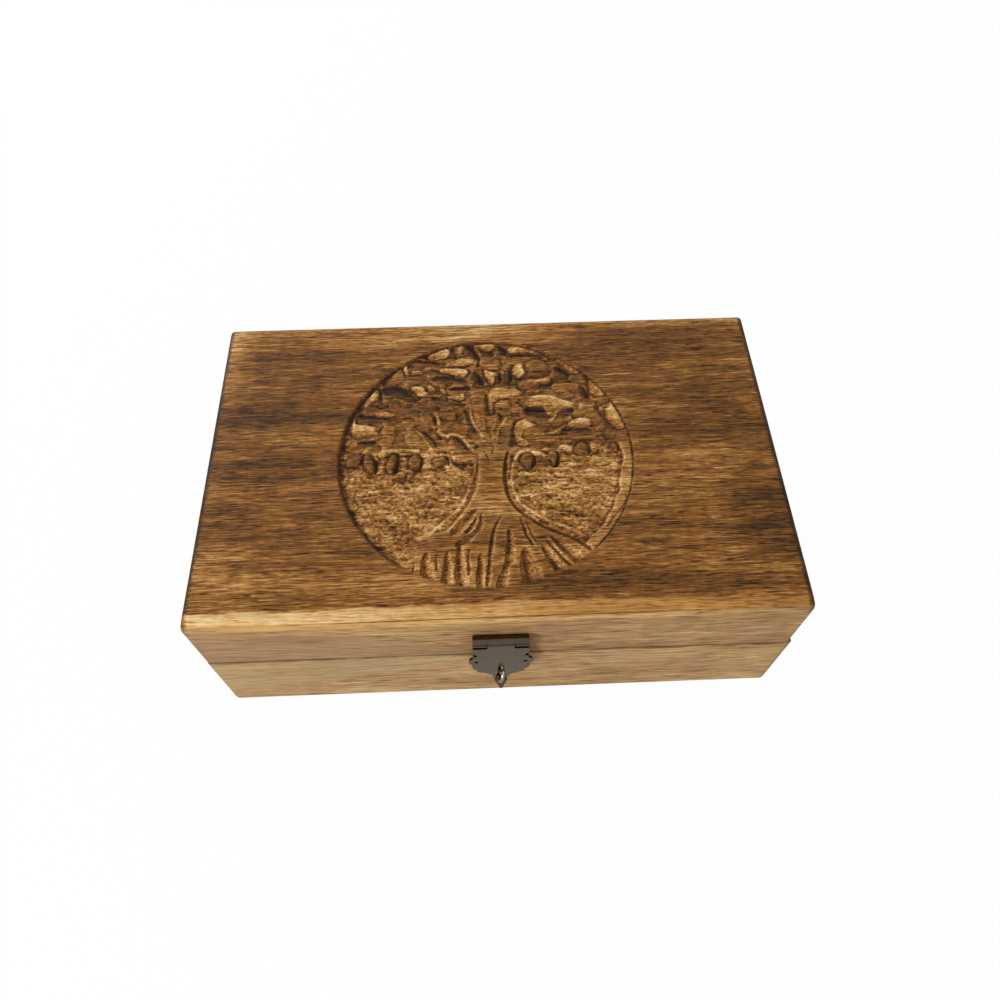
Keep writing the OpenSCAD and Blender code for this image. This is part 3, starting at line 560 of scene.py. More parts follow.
# Planes, stems and limbs that keep most of the board's face
PLANES = (
    ((-38.5, 42), (-34.4, 46), (-28.4, 46), (-27.4, 41.2), (-35, 40.5)),
    ((-47, 17.4), (-40.4, 17.6), (-40, 12), (-46.6, 11)),
    ((-29.6, 26), (-25, 26), (-23.6, 22.4), (-25, 18), (-28, 18), (-29.8, 22)),
    ((-37, 9.6), (-35.2, 15), (-33.4, 16), (-30.6, 13.6), (-27.4, 8.4), (-24, 4.4), (-34, 5)),
    ((-6, 36), (-4, 36.6), (0, 36.4), (1.2, 33), (0.4, 24), (0.6, 13), (2, 6), (-1.8, 5), (-2.6, 15),
     (-5, 22), (-5.6, 28)),
    ((2.6, 3), (2.6, 12), (3.6, 18), (5.6, 24), (7, 23.6), (6.6, 18), (5.6, 12), (6.6, 3)),
    ((-16, 3), (-9, 3.4), (-4, 1), (-3, -4), (-9, -2.4), (-15, -0.4)),
    ((20, 54.4), (31, 53.6), (31.4, 46), (21, 45.4)),
    ((32, 39.8), (44, 40), (46, 36.4), (38, 34.4), (31, 35.6)),
    ((43, 28.4), (49.6, 28), (51.4, 22), (49, 19.6), (44, 21)),
    ((5, 29.4), (7.6, 31), (12, 30.6), (12.6, 27), (11, 26), (6, 26)),
    ((24, 9.4), (34, 10), (49, 10), (54, 11.6), (50, 7.6), (34, 6.8), (22, 6.2)),
    ((-1.6, 52), (0, 49.6), (8, 48.8), (9, 54.6), (6, 57), (0, 57.6)),
)

# Chisel cuts that face the light and cuts that don't, painted lighter and darker: how far they show fresh
# wood, how much painted shade darkens them to their low side, and how much their painted lightness counts
LIT_CUT = (0.7, 0.40, 0.32)
SHADED_CUT = (0.2, 0.28, 0.27)

# Facets left by the chisel: outline, direction the cut falls in, depth at its high and low side, and
# painted lightness, above 0 painted light where the cut faces the light and below 0 painted shade
FACETS = (
    (((11, 62.6), (17, 63.6), (25, 62), (33, 57.6), (27, 57), (20, 58.4), (13, 59)), -100, 0.2, 2.2, 0.9),
    (((10.4, 58.6), (20, 58), (28.4, 56.6), (29, 54.6), (20, 54.4), (11.6, 56)), 90, 0.3, 2.4, -0.9),
    (((-5, 65), (2, 66), (7, 65), (6, 61), (2, 60), (-2, 61)), -110, 0.2, 1.9, 0.8),
    (((7.4, 65), (10.6, 63.6), (12.6, 59), (11, 57), (6, 57.6), (6, 61.4)), 20, 0.8, 2.3, -0.6),
    (((35.4, 58), (40, 55.4), (45, 50.4), (48, 46.6), (45, 44.8), (41.6, 45), (39, 48), (36, 51),
     (34.4, 55)), -125, 0.2, 2.3, 0.6),
    (((33, 48.6), (35.6, 50.6), (39, 47.4), (41.4, 44.6), (38, 43.4), (33.4, 44)), 45, 0.3, 2.3, -0.9),
    (((51, 43), (54, 42), (57, 36), (57.6, 33), (55, 30.6), (50, 31), (49, 35), (49, 40)), 200, 0.2, 2.0,
     0.55),
    (((42.6, 36.6), (46.6, 38), (48.8, 35), (49.6, 31), (46, 29.4), (42.6, 31)), 10, 0.4, 2.3, -0.9),
    (((46, 45), (50.6, 46), (51, 43.4), (48.6, 40), (46.4, 38.6), (45, 41)), 10, 0.3, 1.8, -0.6),
    (((59, 28), (61, 24), (63, 18), (64.4, 12.6), (58, 13), (56, 16), (55, 20), (56, 25)), 215, 0.2, 2.0,
     0.65),
    (((51, 23.6), (54, 22), (56, 17), (58, 13.6), (63, 12.4), (60, 11), (54, 12), (51.4, 17)), 35, 0.3, 2.2,
     -0.8),
    (((17, 26), (19, 30), (22, 33), (27, 33.6), (32, 33), (35, 31), (40, 29.6), (42, 28), (41, 26),
     (37, 25.4), (34, 23), (31, 20), (28.6, 21), (28, 26), (23, 26.6)), -100, 0.2, 2.2, 0.6),
    (((18, 25.6), (24, 26), (28.4, 25.4), (28.8, 21), (29, 17.6), (25.4, 15.8), (21, 18), (18.8, 21)), 80,
     0.2, 2.7, -1),
    (((34, 23), (37, 25), (41, 25.8), (41.6, 23), (38, 19.4), (34, 16), (31.6, 15.4), (32.4, 19)), 70, 0.4,
     2.1, -0.7),
    (((37, 15), (38.6, 17.6), (41, 19), (45, 19.6), (49, 17.6), (48.6, 14), (43, 13.6), (37, 13.8)), -95,
     0.1, 2.1, 0.75),
    (((33, 11.4), (36, 13.4), (48.6, 13.6), (48.6, 10.6), (43, 9.8), (36, 10)), 90, 0.2, 2.3, -0.95),
    (((14, 18), (18.6, 20), (20, 18.4), (25, 15.4), (18, 13.4), (16, 10), (19, 7), (20, 5), (14, 4.4),
     (13, 7), (13, 13)), 195, 0.2, 2.0, 0.65),
    (((9, 3), (9.4, 9), (11.4, 14), (14.6, 18.4), (13.2, 13), (12.4, 8), (13, 3.6)), 0, 0.3, 2.6, -1),
    (((15, 37), (17, 41), (23, 43.6), (32, 43.6), (31, 41), (24, 39), (19, 35.4)), -110, 0.2, 1.8, 0.6),
    (((19, 34.8), (24, 38.4), (31, 40.4), (33, 38.4), (28, 36), (21, 33.4)), 80, 0.2, 2.0, -0.8),
    (((13, 50), (18, 53), (19.6, 50), (20.6, 46), (18, 44), (16, 43), (14, 44.6)), 200, 0.2, 1.9, 0.8),
    (((10.4, 49.6), (13, 49), (14, 44), (13, 40.4), (10.4, 41)), 0, 0.3, 2.2, -0.9),
    (((0, 50), (3, 48.6), (7, 47), (6, 44), (6, 41), (3, 40), (1, 43)), 210, 0.1, 2.0, 1),
    (((6.4, 46), (8.2, 47), (8.6, 41), (6.2, 40.2)), 0, 0.8, 2.4, -1),
    (((-6, 48.6), (-2, 48.4), (0.4, 43.4), (0.6, 40), (-4, 40), (-7.4, 44)), 10, 0.3, 2.4, -0.9),
    (((8, 48.6), (10.4, 48.6), (10.2, 45), (8.8, 45)), -120, 0.2, 1.0, 0.7),
    (((2, 38), (10, 38), (17.4, 37.4), (17.6, 33), (13, 32.4), (4.4, 31), (4, 22), (2, 22)), -95, 0.4, 1.1,
     0.35),
    (((6, 25.4), (12.6, 25.4), (13, 21), (8, 20.6)), 90, 0.4, 1.2, -0.1),
    (((-28, 57.6), (-22, 62.6), (-16, 64), (-15, 60), (-17, 57), (-24, 55.6)), -110, 0.2, 2.0, 0.85),
    (((-33, 55), (-28, 56.6), (-21, 54.8), (-20, 51.4), (-24, 50.4), (-31, 52)), 80, 0.3, 2.3, -0.9),
    (((-14.4, 63.6), (-10, 65), (-8.6, 63), (-10, 58), (-13, 56.6)), 200, 0.3, 1.5, 0.35),
    (((-9.4, 64), (-5, 64.8), (-3, 60.6), (-0.6, 58), (-1, 55), (-4, 54.8), (-9, 57.4)), 30, 0.4, 2.3, -0.9),
    (((-20, 50.8), (-16, 54.6), (-10, 57), (-4, 56.8), (-3, 53.6), (-10, 51.4)), -100, 0.2, 1.4, 0.45),
    (((-20.6, 50.6), (-8, 51), (-6, 48), (-9, 44.4), (-12, 44.4), (-15, 47), (-20.6, 48)), -105, 0.1, 2.0,
     0.95),
    (((-24, 46.4), (-16, 46.6), (-13.6, 44), (-8, 44), (-6, 40.6), (-16, 40.8), (-24, 41.4)), 80, 0.5, 2.1,
     -0.6),
    (((-16, 40), (-6, 40), (-6, 36), (-9, 35.4), (-15, 35.6)), 90, 1.0, 2.4, -0.85),
    (((-38.8, 54.4), (-36, 54.2), (-34.6, 48), (-36.4, 46), (-38, 49)), 185, 0.2, 1.5, 0.7),
    (((-48, 42), (-43, 49), (-39, 53.6), (-38.4, 49), (-37, 45.6), (-39, 42.6), (-42, 41)), -135, 0.3, 1.6,
     0.3),
    (((-34.4, 50), (-29, 50), (-28, 46.6), (-34, 46.2)), -100, 0.3, 1.4, 0.5),
    (((-28, 49.6), (-22, 50.2), (-21.6, 47), (-25, 46), (-27.6, 47)), 60, 0.4, 1.6, -0.3),
    (((-35, 40.4), (-28, 40.6), (-26, 37), (-27, 34), (-30, 34), (-33, 37)), -115, 0.1, 2.2, 1),
    (((-48, 40.4), (-40, 41.2), (-35.4, 39.4), (-33, 36), (-31, 33.6), (-32, 26), (-36, 26), (-36.6, 32),
     (-42, 34), (-47, 35)), 70, 0.8, 2.5, -0.95),
    (((-47, 34), (-42, 33.4), (-37, 31), (-39, 27.6), (-44, 29.6), (-47.6, 31)), 60, 0.6, 1.5, -0.35),
    (((-26.4, 41), (-23, 41), (-22, 37), (-25, 35.4)), -110, 0.2, 1.3, 0.55),
    (((-20, 39.4), (-17.4, 39), (-16.6, 35.4), (-19, 35.2), (-21, 37)), -110, 0.2, 1.3, 0.55),
    (((-17.6, 34.6), (-15, 34), (-11.4, 34.6), (-8.6, 36.2), (-8, 32), (-12, 30.8), (-16, 32)), -100, 0.1,
     1.3, 0.8),
    (((-25, 34.6), (-20, 34), (-17.6, 31), (-12, 30.2), (-9, 29.4), (-9, 25), (-13, 26.4), (-20, 27.6),
     (-24, 30)), 80, 0.6, 2.1, -0.75),
    (((-51, 38.6), (-49, 37), (-49.4, 33.6), (-52, 30.6), (-57, 26), (-58.4, 28), (-54.4, 34)), 200, 0.2,
     1.9, 0.6),
    (((-48.8, 38.6), (-46.8, 37.6), (-46.6, 31), (-50, 27.4), (-51.4, 29.6), (-48.6, 33.6)), 20, 0.5, 2.0,
     -0.8),
    (((-50, 26), (-42, 25.6), (-39.6, 24), (-44, 22.4), (-50, 23.4)), -100, 0.1, 1.8, 0.85),
    (((-58.6, 25.4), (-50.6, 24.4), (-44, 22), (-39.6, 21), (-42, 19.4), (-50, 19.2), (-58, 20.6)), 85, 0.4,
     2.3, -0.9),
    (((-60.4, 19.4), (-58, 19.6), (-50, 17.2), (-48.6, 14.6), (-48.6, 11.6), (-60, 11.2)), -95, 0.1, 1.9,
     0.6),
    (((-57.6, 10.4), (-50, 10.4), (-48, 8), (-49.6, 5.8), (-57, 6)), 90, 0.4, 2.2, -0.85),
    (((-24.6, 21), (-23, 23.4), (-22, 20), (-22.4, 16), (-25, 16.4)), 20, 0.4, 2.0, -0.8),
    (((-25.4, 16), (-22.6, 14.6), (-19, 10.4), (-20, 8.6), (-24, 11)), 10, 0.3, 2.0, -0.85),
    (((-17, 10), (-14.4, 11.4), (-11, 9.6), (-8.4, 5.4), (-7, 2.6), (-11, 3.6), (-16, 5)), 30, 0.3, 1.8,
     -0.6),
    (((-29.6, 12.6), (-26, 9), (-22.6, 4.2), (-20.6, 5.6), (-24, 11), (-28, 15)), 35, 0.4, 2.1, -0.8),
    (((-35.6, 13), (-33, 14.6), (-30, 12.4), (-31, 9), (-35.4, 8.6)), 200, 0.3, 1.3, -0.35),
    (((-10, 25.4), (-7.4, 25.6), (-6.6, 20), (-3, 12), (-6, 11.6), (-9.6, 16)), 20, 0.4, 2.0, -0.65),
    (((1.4, 20), (2.6, 22), (2.6, 13), (4.4, 9), (2.2, 8.4), (1, 12)), 0, 0.5, 2.2, -0.8),
    (((21, -1), (22.8, -1.4), (22.4, -6), (20.6, -6.6), (19.6, -7.6), (20.8, -4)), 180, 1.2, 2.5, -0.8),
    (((31.8, 0.6), (33.6, 2.4), (34, -3), (32, -6.6), (30, -6.6), (31.6, -4)), 180, 1.2, 2.5, -0.8),
    (((-49.4, 0.6), (-46.8, -0.6), (-46, -3), (-48.4, -6.6), (-50, -7.6), (-48.8, -4)), 180, 1.2, 2.5, -0.8),
    (((-39.2, 1), (-36.8, 0.6), (-37.2, -5), (-38.6, -11), (-41, -9), (-39.4, -4)), 180, 1.2, 2.5, -0.8),
    (((-29, 1), (-26.6, -0.6), (-27.2, -4), (-30, -6.8), (-28.4, -3.4)), 180, 1.2, 2.4, -0.7),
    (((-18.2, 0), (-15.4, -1), (-15.4, -4.6), (-17.4, -5), (-17, -3)), 180, 1.2, 2.4, -0.8),
    (((-48.6, 3.2), (-44, 3.6), (-43, 2), (-46, -0.4), (-48, 1)), -90, 0.1, 1.5, 0.9),
    (((-39, 3.4), (-32, 3), (-35.6, 1), (-38.6, 1.6)), -90, 0.1, 1.3, 0.8),
    (((-25.6, 1), (-18, 1.2), (-12, 0.4), (-6, -1.6), (-4.6, -3.6), (-14, -4), (-15, -1), (-19, 0.6)), -90,
     0.1, 1.3, 0.6),
    (((32, 4.8), (38.8, 4.4), (38.8, 0.6), (36.4, 0), (34, 2)), -90, 0.2, 1.5, 0.9),
    (((46.8, 6.2), (50, 5), (50, 0), (47, -0.4), (47, 3)), -90, 0.2, 1.5, 0.8),
    (((-46, -9), (-42, -10), (-38, -13), (-36, -12), (-36, -8), (-35, -7), (-38, -6.6), (-41.6, -9)), -60,
     0.6, 1.6, 0.3),
)

# Soft edges that stand up, each with a painted highlight where it would catch the light: path, width and
# how far the crest lies below the face
EDGES = (
    (((-6, 28), (-6.2, 22), (-4.2, 16), (-1, 10)), 1.0, 0.3),
    (((-35, 15.4), (-33.4, 16.2), (-30, 14), (-27, 9), (-24, 4)), 1.2, 0.3),
    (((-17, 10.6), (-15, 12.6), (-11, 11), (-9, 8), (-5.4, 2.4)), 1.2, 0.3),
    (((-24, 17), (-22.4, 14), (-20, 12), (-17, 10.6)), 1.0, 0.3),
    (((-22.4, 24), (-21.4, 21.6), (-20.6, 17)), 1.0, 0.3),
    (((26, 10.4), (30, 11), (33, 12.2), (37, 15)), 1.0, 0.3),
    (((33.4, 23), (32.6, 20.6), (30, 17.6)), 1.0, 0.3),
    (((51, 29), (54, 29.8), (57.4, 29.6)), 0.9, 0.3),
    (((-59.4, 25), (-59.6, 21), (-58.8, 18)), 0.9, 0.3),
    (((-60, 19), (-55, 18), (-50, 17)), 0.9, 0.3),
    (((4.4, 2), (5.4, 9), (6.4, 15), (10, 20)), 0.9, 0.3),
    (((12, -4), (10.8, -12), (11.4, -19), (14.4, -25.4), (19, -29.4), (26, -34), (34, -37.6), (41, -42)),
     1.2, 0.9),
    (((21, 1), (24.4, 0), (27.4, -1.6)), 1.3, 0.3),
    (((13, -2), (15, 1.6), (19, 2.4)), 1.0, 0.3),
    (((-7.4, -15), (-9.4, -22), (-12.8, -27.4), (-17, -31.6), (-21.6, -35.6), (-25, -39)), 1.2, 0.9),
    (((-46, 4), (-38, 4.6), (-30, 4)), 1.0, 0.3),
)

# A gouge deepens along most of its length and the grooves beside the trunk almost at once
GOUGE_TAPER = 1.4
SIDE_TAPER = 6

# Gouges between the roots and along the trunk: path, width and depth
GOUGES = (
    (((-26, -47.6), (-26.2, -54), (-25.4, -61.4)), 6.4, 2.2),
    (((-21.6, -48), (-21.8, -55)), 1.6, 1.0),
    (((-17.2, -47.4), (-17.4, -54), (-17.8, -62)), 5.2, 2.1),
    (((-12, -43), (-12.4, -52), (-11.6, -61.6)), 5.4, 2.5),
    (((-2.4, -29.6), (-3.4, -37), (-7, -41), (-12, -44.6)), 4.2, 1.6),
    (((-8.4, -46), (-8.6, -58)), 2.4, 1.2),
    (((-3.6, -48.6), (-3.9, -56), (-4.0, -63)), 4.2, 2.1),
    (((0.6, -48), (-0.2, -55), (-1.2, -62.6)), 2.6, 1.5),
    (((6, -31), (3, -36), (1.4, -42), (0.6, -50)), 2.2, 1.5),
    (((8.6, -38), (9.2, -45), (8.2, -53)), 4.6, 2.0),
    (((7.4, -53), (6, -58), (4.8, -63.4)), 5.2, 1.9),
    (((14.6, -46.6), (16, -54), (17.6, -62.6)), 9.4, 2.7),
    (((13.6, -32.6), (15.4, -39), (18, -45)), 2.2, 1.4),
    (((15.6, -34.6), (17.4, -39), (19.4, -43.6)), 1.3, 1.0),
    (((22, -46), (25.6, -52.4), (29.4, -58.6)), 5.6, 2.4),
    (((26, -42), (31.6, -47.4), (37.4, -53.4)), 6.0, 2.5),
    (((23.4, -43.6), (28.4, -49.4), (33, -55)), 2.4, 1.6),
    (((-4.6, -27.4), (-8.6, -32.6), (-13.6, -38)), 5.4, 2.3),
    (((-5, -32), (-7, -36.4), (-9, -38.6)), 2.6, 1.7),
    (((-31, -48.6), (-31.4, -58)), 1.2, 0.8),
    (((-43, 29), (-39.6, 24)), 0.9, 0.9),
    (((6, 25), (9.4, 21), (12, 25)), 0.9, 0.9),
    (((39.4, 54.6), (39.6, 52.4), (38, 51)), 1.0, 1.0),
    (((-2.2, 29), (-1.6, 22), (-0.8, 16)), 0.8, 0.6),
    (((-61, -9), (-62.6, -14)), 1.4, 1.2),
    (((-58.6, -7.4), (-61, -10.4)), 1.4, 1.2),
    (((-13.6, -25), (-15, -28)), 2.2, 1.2),
    (((-16, -29.6), (-21.4, -30.4)), 1.6, 1.0),
    (((61, -14), (59, -20), (60, -25), (57, -30), (53, -34), (50.6, -38)), 1.8, 1.2),
    (((19, -11.6), (25, -13.2), (32.6, -12.6)), 2.6, 1.2),
    (((-30, -37.6), (-36, -45)), 1.2, 0.8),
    (((-2, 3), (0, 0.4), (1.4, -3)), 0.9, 0.7),
    (((3.4, 3), (3, 0)), 0.8, 0.6),
)

# Grooves that part the trunk from the fields
TRUNK_SIDES = (
    (((-3.8, -4), (-4.6, -12), (-5.8, -19), (-8.8, -25), (-11.4, -29), (-15.4, -35), (-20, -37.6)), 2.6, 2.0),
    (((10, 2), (8.6, -6), (8.4, -12), (9, -20), (12, -27), (17, -32), (24, -37), (32, -40.6), (38, -44),
     (43, -49)), 3.0, 2.4),
)

# Outline of the trunk and its roots, which the ground leaves standing
TRUNK = ((-34.5, -58.5), (-30, -50), (-25, -42), (-20, -37.4), (-15, -34.4), (-11, -28.4), (-8.4, -24.4),
         (-5.6, -19.6), (-5, -15), (-4, -9), (-6, -3), (0, 4), (8, 4), (11, -1), (9.6, -6), (8.6, -13),
         (9.4, -20), (13, -27.6), (18, -32.4), (25, -37), (32, -40.4), (38, -44), (45, -50.4), (40, -62),
         (0, -70), (-30, -62))


def marked_out(xs, ys, sizes):
    """The face before it is cut: where each of its points lies, and the random marks that its cuts share."""
    x, y = np.meshgrid(xs, ys)
    radius = np.hypot(x, y)
    # No outline cut by hand is quite true: wx and wy are places that wander a little off it
    wx = x + 1.0 * (value_noise(x, y, 4.4, 3.4, 21) - 0.5) + 0.35 * (value_noise(x, y, 1.5, 1.3, 22) - 0.5)
    wy = y + 1.0 * (value_noise(x, y, 4.4, 3.4, 23) - 0.5) + 0.35 * (value_noise(x, y, 1.5, 1.3, 24) - 0.5)
    slope, light = chisel_marks(0.7 * wx + 0.4 * wy, wy - 0.3 * wx, 5.2, 11)
    small_slope, small_light = chisel_marks(0.7 * wx - 0.3 * wy, wy, 1.8, 12)
    return SimpleNamespace(
        xs=xs, ys=ys, x=x, y=y, wx=wx, wy=wy, radius=radius, angle=np.degrees(np.arctan2(y, x)),
        slope=slope, light=light, small_slope=small_slope, small_light=small_light,
        # How far each point is within the circle, and in the crown
        inside=step(sizes.circle - RIM - radius, 0, 0.5),
        upper=step(y + 3 * value_noise(x, y, 7, 7, 8), *CROWN_FOOT),
        # Roughness, and chips and lines along the grain, all from -0.5 to 0.5
        rough=0.6 * value_noise(x, y, 2.4, 1.5, 1) + 0.4 * value_noise(x, y, 1.1, 0.85, 2) - 0.5,
        chips=value_noise(x + 0.4 * y, y, 4.5, 0.95, 3) - 0.5,
        lines=value_noise(x, y, 7, 0.75, 4) - 0.5,
    )


def part_near(face, path, margin):
    """Rows and columns of the face's points that lie about a path."""
    low, high = path.min(0) - margin, path.max(0) + margin
    rows, columns = [slice(*np.searchsorted(at, (low[n], high[n]))) for n, at in ((1, face.ys), (0, face.xs))]
    return rows, columns


def cut_ground(face, sizes):
    """Sinks the stippled fields beside the trunk, and a shallower, faceted ground in the crown."""
    x, y, inside, upper = face.x, face.y, face.inside, face.upper
    pits = step(value_noise(x, y, 1.3, 0.95, 5), 0.60, 0.85)
    ground = sizes.field * (1 - upper) + sizes.crown * upper
    ground += (0.8 * face.rough + 0.6 * face.chips + 0.55 * pits) * (1 - 0.7 * upper)
    ground -= (0.6 * face.slope + 0.25 * face.light) * upper + 0.25 * face.slope * (1 - upper)
    trunk = depth_inside(soften(TRUNK), x, y)
    # The left field runs out softly over the roots, and so does the crown's ground above the trunk
    soft = step(-x, 18, 24) * step(-y, 36, 40) + step(y, -2, 2)
    off_trunk = step(-trunk, -0.1, 0.6) * (1 - soft) + step(-trunk, -2, 7) * soft
    face.height = -(ground * off_trunk + 0.25 * (1 - off_trunk) * (face.lines + 0.2)) * inside
    face.cut = inside * off_trunk * (1 - 0.8 * upper)
    ticks = value_noise(x, y, 0.95, 2.6, 6) - 0.5
    mottled = value_noise(x, y, 9, 3, 33) - 0.5
    field = 0.15 + 0.10 * face.light + 0.06 * face.small_light + 0.28 * mottled - 0.20 * face.chips
    below = field * off_trunk + 0.08 * (1 - off_trunk)
    above = 0.05 * ticks + 0.07 * face.light - 0.03
    face.tone = (below * (1 - upper) + above * upper + 0.11 * face.lines - 0.05 * step(-y, 20, 45)) * inside


def smooth_band(face):
    """Leaves a smooth band inside the groove on the right, that the field's stipple never reached."""
    ragged = face.radius + 1.6 * value_noise(face.x, face.y, 4, 4, 31)
    band = step(ragged, 60.6, 61.4) * step(face.angle, -54, -47) * step(-face.angle, -8, -2) * face.inside
    face.height += (-0.6 + 0.2 * face.rough - face.height) * band
    face.cut *= 1 - 0.6 * band
    face.tone += (0.17 + 0.12 * face.lines - face.tone) * band
    edge = np.exp(-((ragged - 60.4) / 0.5) ** 2) * step(face.angle, -50, -44) * step(-face.angle, -4, 2)
    face.tone -= 0.16 * edge * face.inside


def cut_facets(face):
    """Cuts the crown's facets, each soft at its high side and with a sharp stop cut at its low side. Each
    facet gets painted light where it faces the light and painted shade where it doesn't.
    """
    for outline, fall, high, low, shade in FACETS:
        fresh, painted_slant_shade, weight = LIT_CUT if shade > 0 else SHADED_CUT
        path = soften(outline, rounds=1)
        part = part_near(face, path, 3)
        inside, rough, lines = face.inside[part], face.rough[part], face.lines[part]
        deep = depth_inside(path, face.wx[part], face.wy[part])
        way = np.array((math.cos(math.radians(fall)), math.sin(math.radians(fall))))
        along = path @ way
        s = np.clip((face.x[part] * way[0] + face.y[part] * way[1] - along.min()) / np.ptp(along), 0, 1)
        blend = 0.35 + 1.9 * (1 - s) ** 2
        mask = step(deep, -0.25 * blend, blend) * inside
        floor = 0.35 * rough + 0.3 * lines + 0.2 * face.small_slope[part]
        floor -= (high + (low - high) * s ** 1.7) * 1.15
        face.height[part] += (floor - face.height[part]) * mask
        face.cut[part] += (fresh - face.cut[part]) * mask
        flecks = 0.12 * rough + 0.12 * lines + 0.05 * face.small_light[part]
        face.tone[part] += (weight * shade + flecks + painted_slant_shade * (0.45 - s) - face.tone[part]) * mask
        # A lit facet also gets a painted shadow along the edge of its low side
        if shade > 0:
            face.tone[part] -= 0.34 * step(s, 0.4, 0.75) * np.exp(-((deep + 0.3) / 0.5) ** 2) * inside


def leave_leaves(face):
    """Leaves planes, stems and hanging leaves at nearly the board's face, with a stop cut round the last."""
    for group, ring in ((PLANES, 0), (HANGING, 1)):
        for outline in group:
            path = soften(outline)
            part = part_near(face, path, 3)
            deep = depth_inside(path, face.wx[part], face.wy[part])
            mask = step(deep, -0.6 + 0.3 * ring, 0.5 - 0.3 * ring) * face.inside[part]
            dome = 0.25 * face.lines[part] - 0.25
            dome -= (0.5 + 0.5 * ring) * np.clip(1 - deep / 1.8, 0, 1) ** 2
            face.height[part] += (dome - face.height[part]) * mask
            face.cut[part] *= 1 - mask
            flecks = 0.16 * face.lines[part] + 0.1 * face.small_light[part]
            face.tone[part] += (-0.02 - 0.07 * ring + flecks - face.tone[part]) * mask
            # A dark line in the stop cut round each hanging leaf: painted shade and char
            line = np.exp(-((deep + 0.35) / 0.45) ** 2) * face.inside[part] * ring
            face.height[part] -= 0.5 * line
            face.tone[part] -= 0.17 * line


def cut_gouges(face):
    """Cuts the gouges and the trunk's sides, steep on the shaded side and easy on the lit one, with painted
    light on the lit wall and painted shade on the shaded one.
    """
    gouged = [(*gouge, GOUGE_TAPER) for gouge in GOUGES] + [(*side, SIDE_TAPER) for side in TRUNK_SIDES]
    for path, wide, deepest, taper in gouged:
        path = soften(path, False)
        part = part_near(face, path, 5)
        dist, t, side = along_path(path, 0.5 * (face.wx + face.x)[part], 0.5 * (face.wy + face.y)[part])
        half = wide / 2 * (0.06 + 0.94 * np.clip(t * taper, 0, 1) ** 0.7)
        u = np.clip(side * dist / half, -1, 1)
        cup = np.where(u < -0.4, (u + 1) / 0.6, (1 - u) / 1.4)
        bottom = -deepest * (0.4 + 0.6 * np.clip(t * taper, 0, 1)) * cup ** 0.8
        lower = (cup > 0.05) & (bottom < face.height[part]) & (face.inside[part] > 0.5)
        face.height[part] = np.where(lower, bottom, face.height[part])
        # Painted light on the gouge's lit wall, lighter towards its end, and painted shade on its shaded wall
        lit = 0.03 + 0.17 * t + 0.16 * face.lines[part] + 0.05 * face.rough[part]
        shaded = step(-(u + 1) * half, -0.8, -0.35)
        face.tone[part] = np.where(lower, lit - (lit + 0.14) * shaded, face.tone[part])


def leave_edges(face):
    """Leaves soft edges standing between cuts, with a painted highlight along each crest."""
    for path, wide, top in EDGES:
        path = soften(path, False)
        part = part_near(face, path, 3.5)
        dist = along_path(path, 0.5 * (face.wx + face.x)[part], 0.5 * (face.wy + face.y)[part])[0]
        crest = np.where(dist < wide * 1.4, -top - 1.2 * dist / wide, -9)
        face.height[part] = np.maximum(face.height[part], crest)
        # Painted highlight along the crest, weaker where the crest lies lower
        face.tone[part] += (0.20 - 0.12 * top) * np.exp(-(dist / (0.6 * wide)) ** 2) * face.inside[part]


def cut_groove(face, sizes):
    """Cuts the groove round the tree, wide on the left, which ends where the roots run over it."""
    kept = 1 - step(-face.angle, 45, 50) * (1 - step(-face.angle, 120, 126))
    half = sizes.groove * (0.5 + 0.85 * step(-face.x, 12, 52) * (1 - 0.4 * step(-face.y, 5, 45)))
    groove = np.clip(1 - ((face.radius - sizes.circle + half) / half) ** 2, 0, 1) * kept
    bottom = -1.3 * groove * (half / sizes.groove) ** 0.4 * (1 + 0.4 * face.rough)
    face.height = np.minimum(face.height, bottom)
    # The groove is darkened: painted shade and soot
    face.tone -= (0.17 + 0.10 * face.rough) * step(groove, 0, 0.6)


def carve(xs, ys, sizes):
    """Height of the carved face in millimetres, how far it is cut to fresh wood, and its lightness, which
    holds painted light and shade.
    """
    face = marked_out(xs, ys, sizes)
    cut_ground(face, sizes)
    smooth_band(face)
    cut_facets(face)
    leave_leaves(face)
    cut_gouges(face)
    leave_edges(face)
    cut_groove(face, sizes)
    # Rubbing rounds the ridges by half of one levelling. What lies below the level that nine give is a
    # recess, darkened as painted shade and as the soot and oil it holds, and what stands above it is made
    # lighter, as a painted highlight and as the rubbing's wear.
    height, level = face.height, face.height.copy()
    for n in range(9):
        level[1:-1, 1:-1] = (level[:-2, 1:-1] + level[2:, 1:-1] + level[1:-1, :-2] + level[1:-1, 2:]) / 4
        if n == 0:
            height = 0.5 * height + 0.5 * level
    hollow = np.clip((level - height) / 0.4, -1, 1)
    tone = face.tone - 0.20 * np.maximum(hollow, 0) - 0.12 * np.minimum(hollow, 0) * face.inside
    return height, np.clip(face.cut, 0, 1), np.clip(tone, -0.5, 0.6)


def grid_lines(low, high, dense_low, dense_high, pitch, round_low, round_high):
    """Grid lines across the board: close over the carving and the rounded edges, wide elsewhere."""
    turn = [1 - math.cos(math.radians(a)) for a in (0, 15, 30, 45, 60, 75, 90)]
    lines = [low + round_low * t for t in turn]
    for start, stop, spacing in ((low + round_low, dense_low, PLAIN_PITCH), (dense_low, dense_high, pitch),
                                 (dense_high, high - round_high, PLAIN_PITCH)):
        count = max(1, round((stop - start) / spacing))
        lines += [start + (stop - start) * (n + 1) / count for n in range(count)]
    lines += [high - round_high * t for t in turn[-2::-1]]
    return np.array(lines)


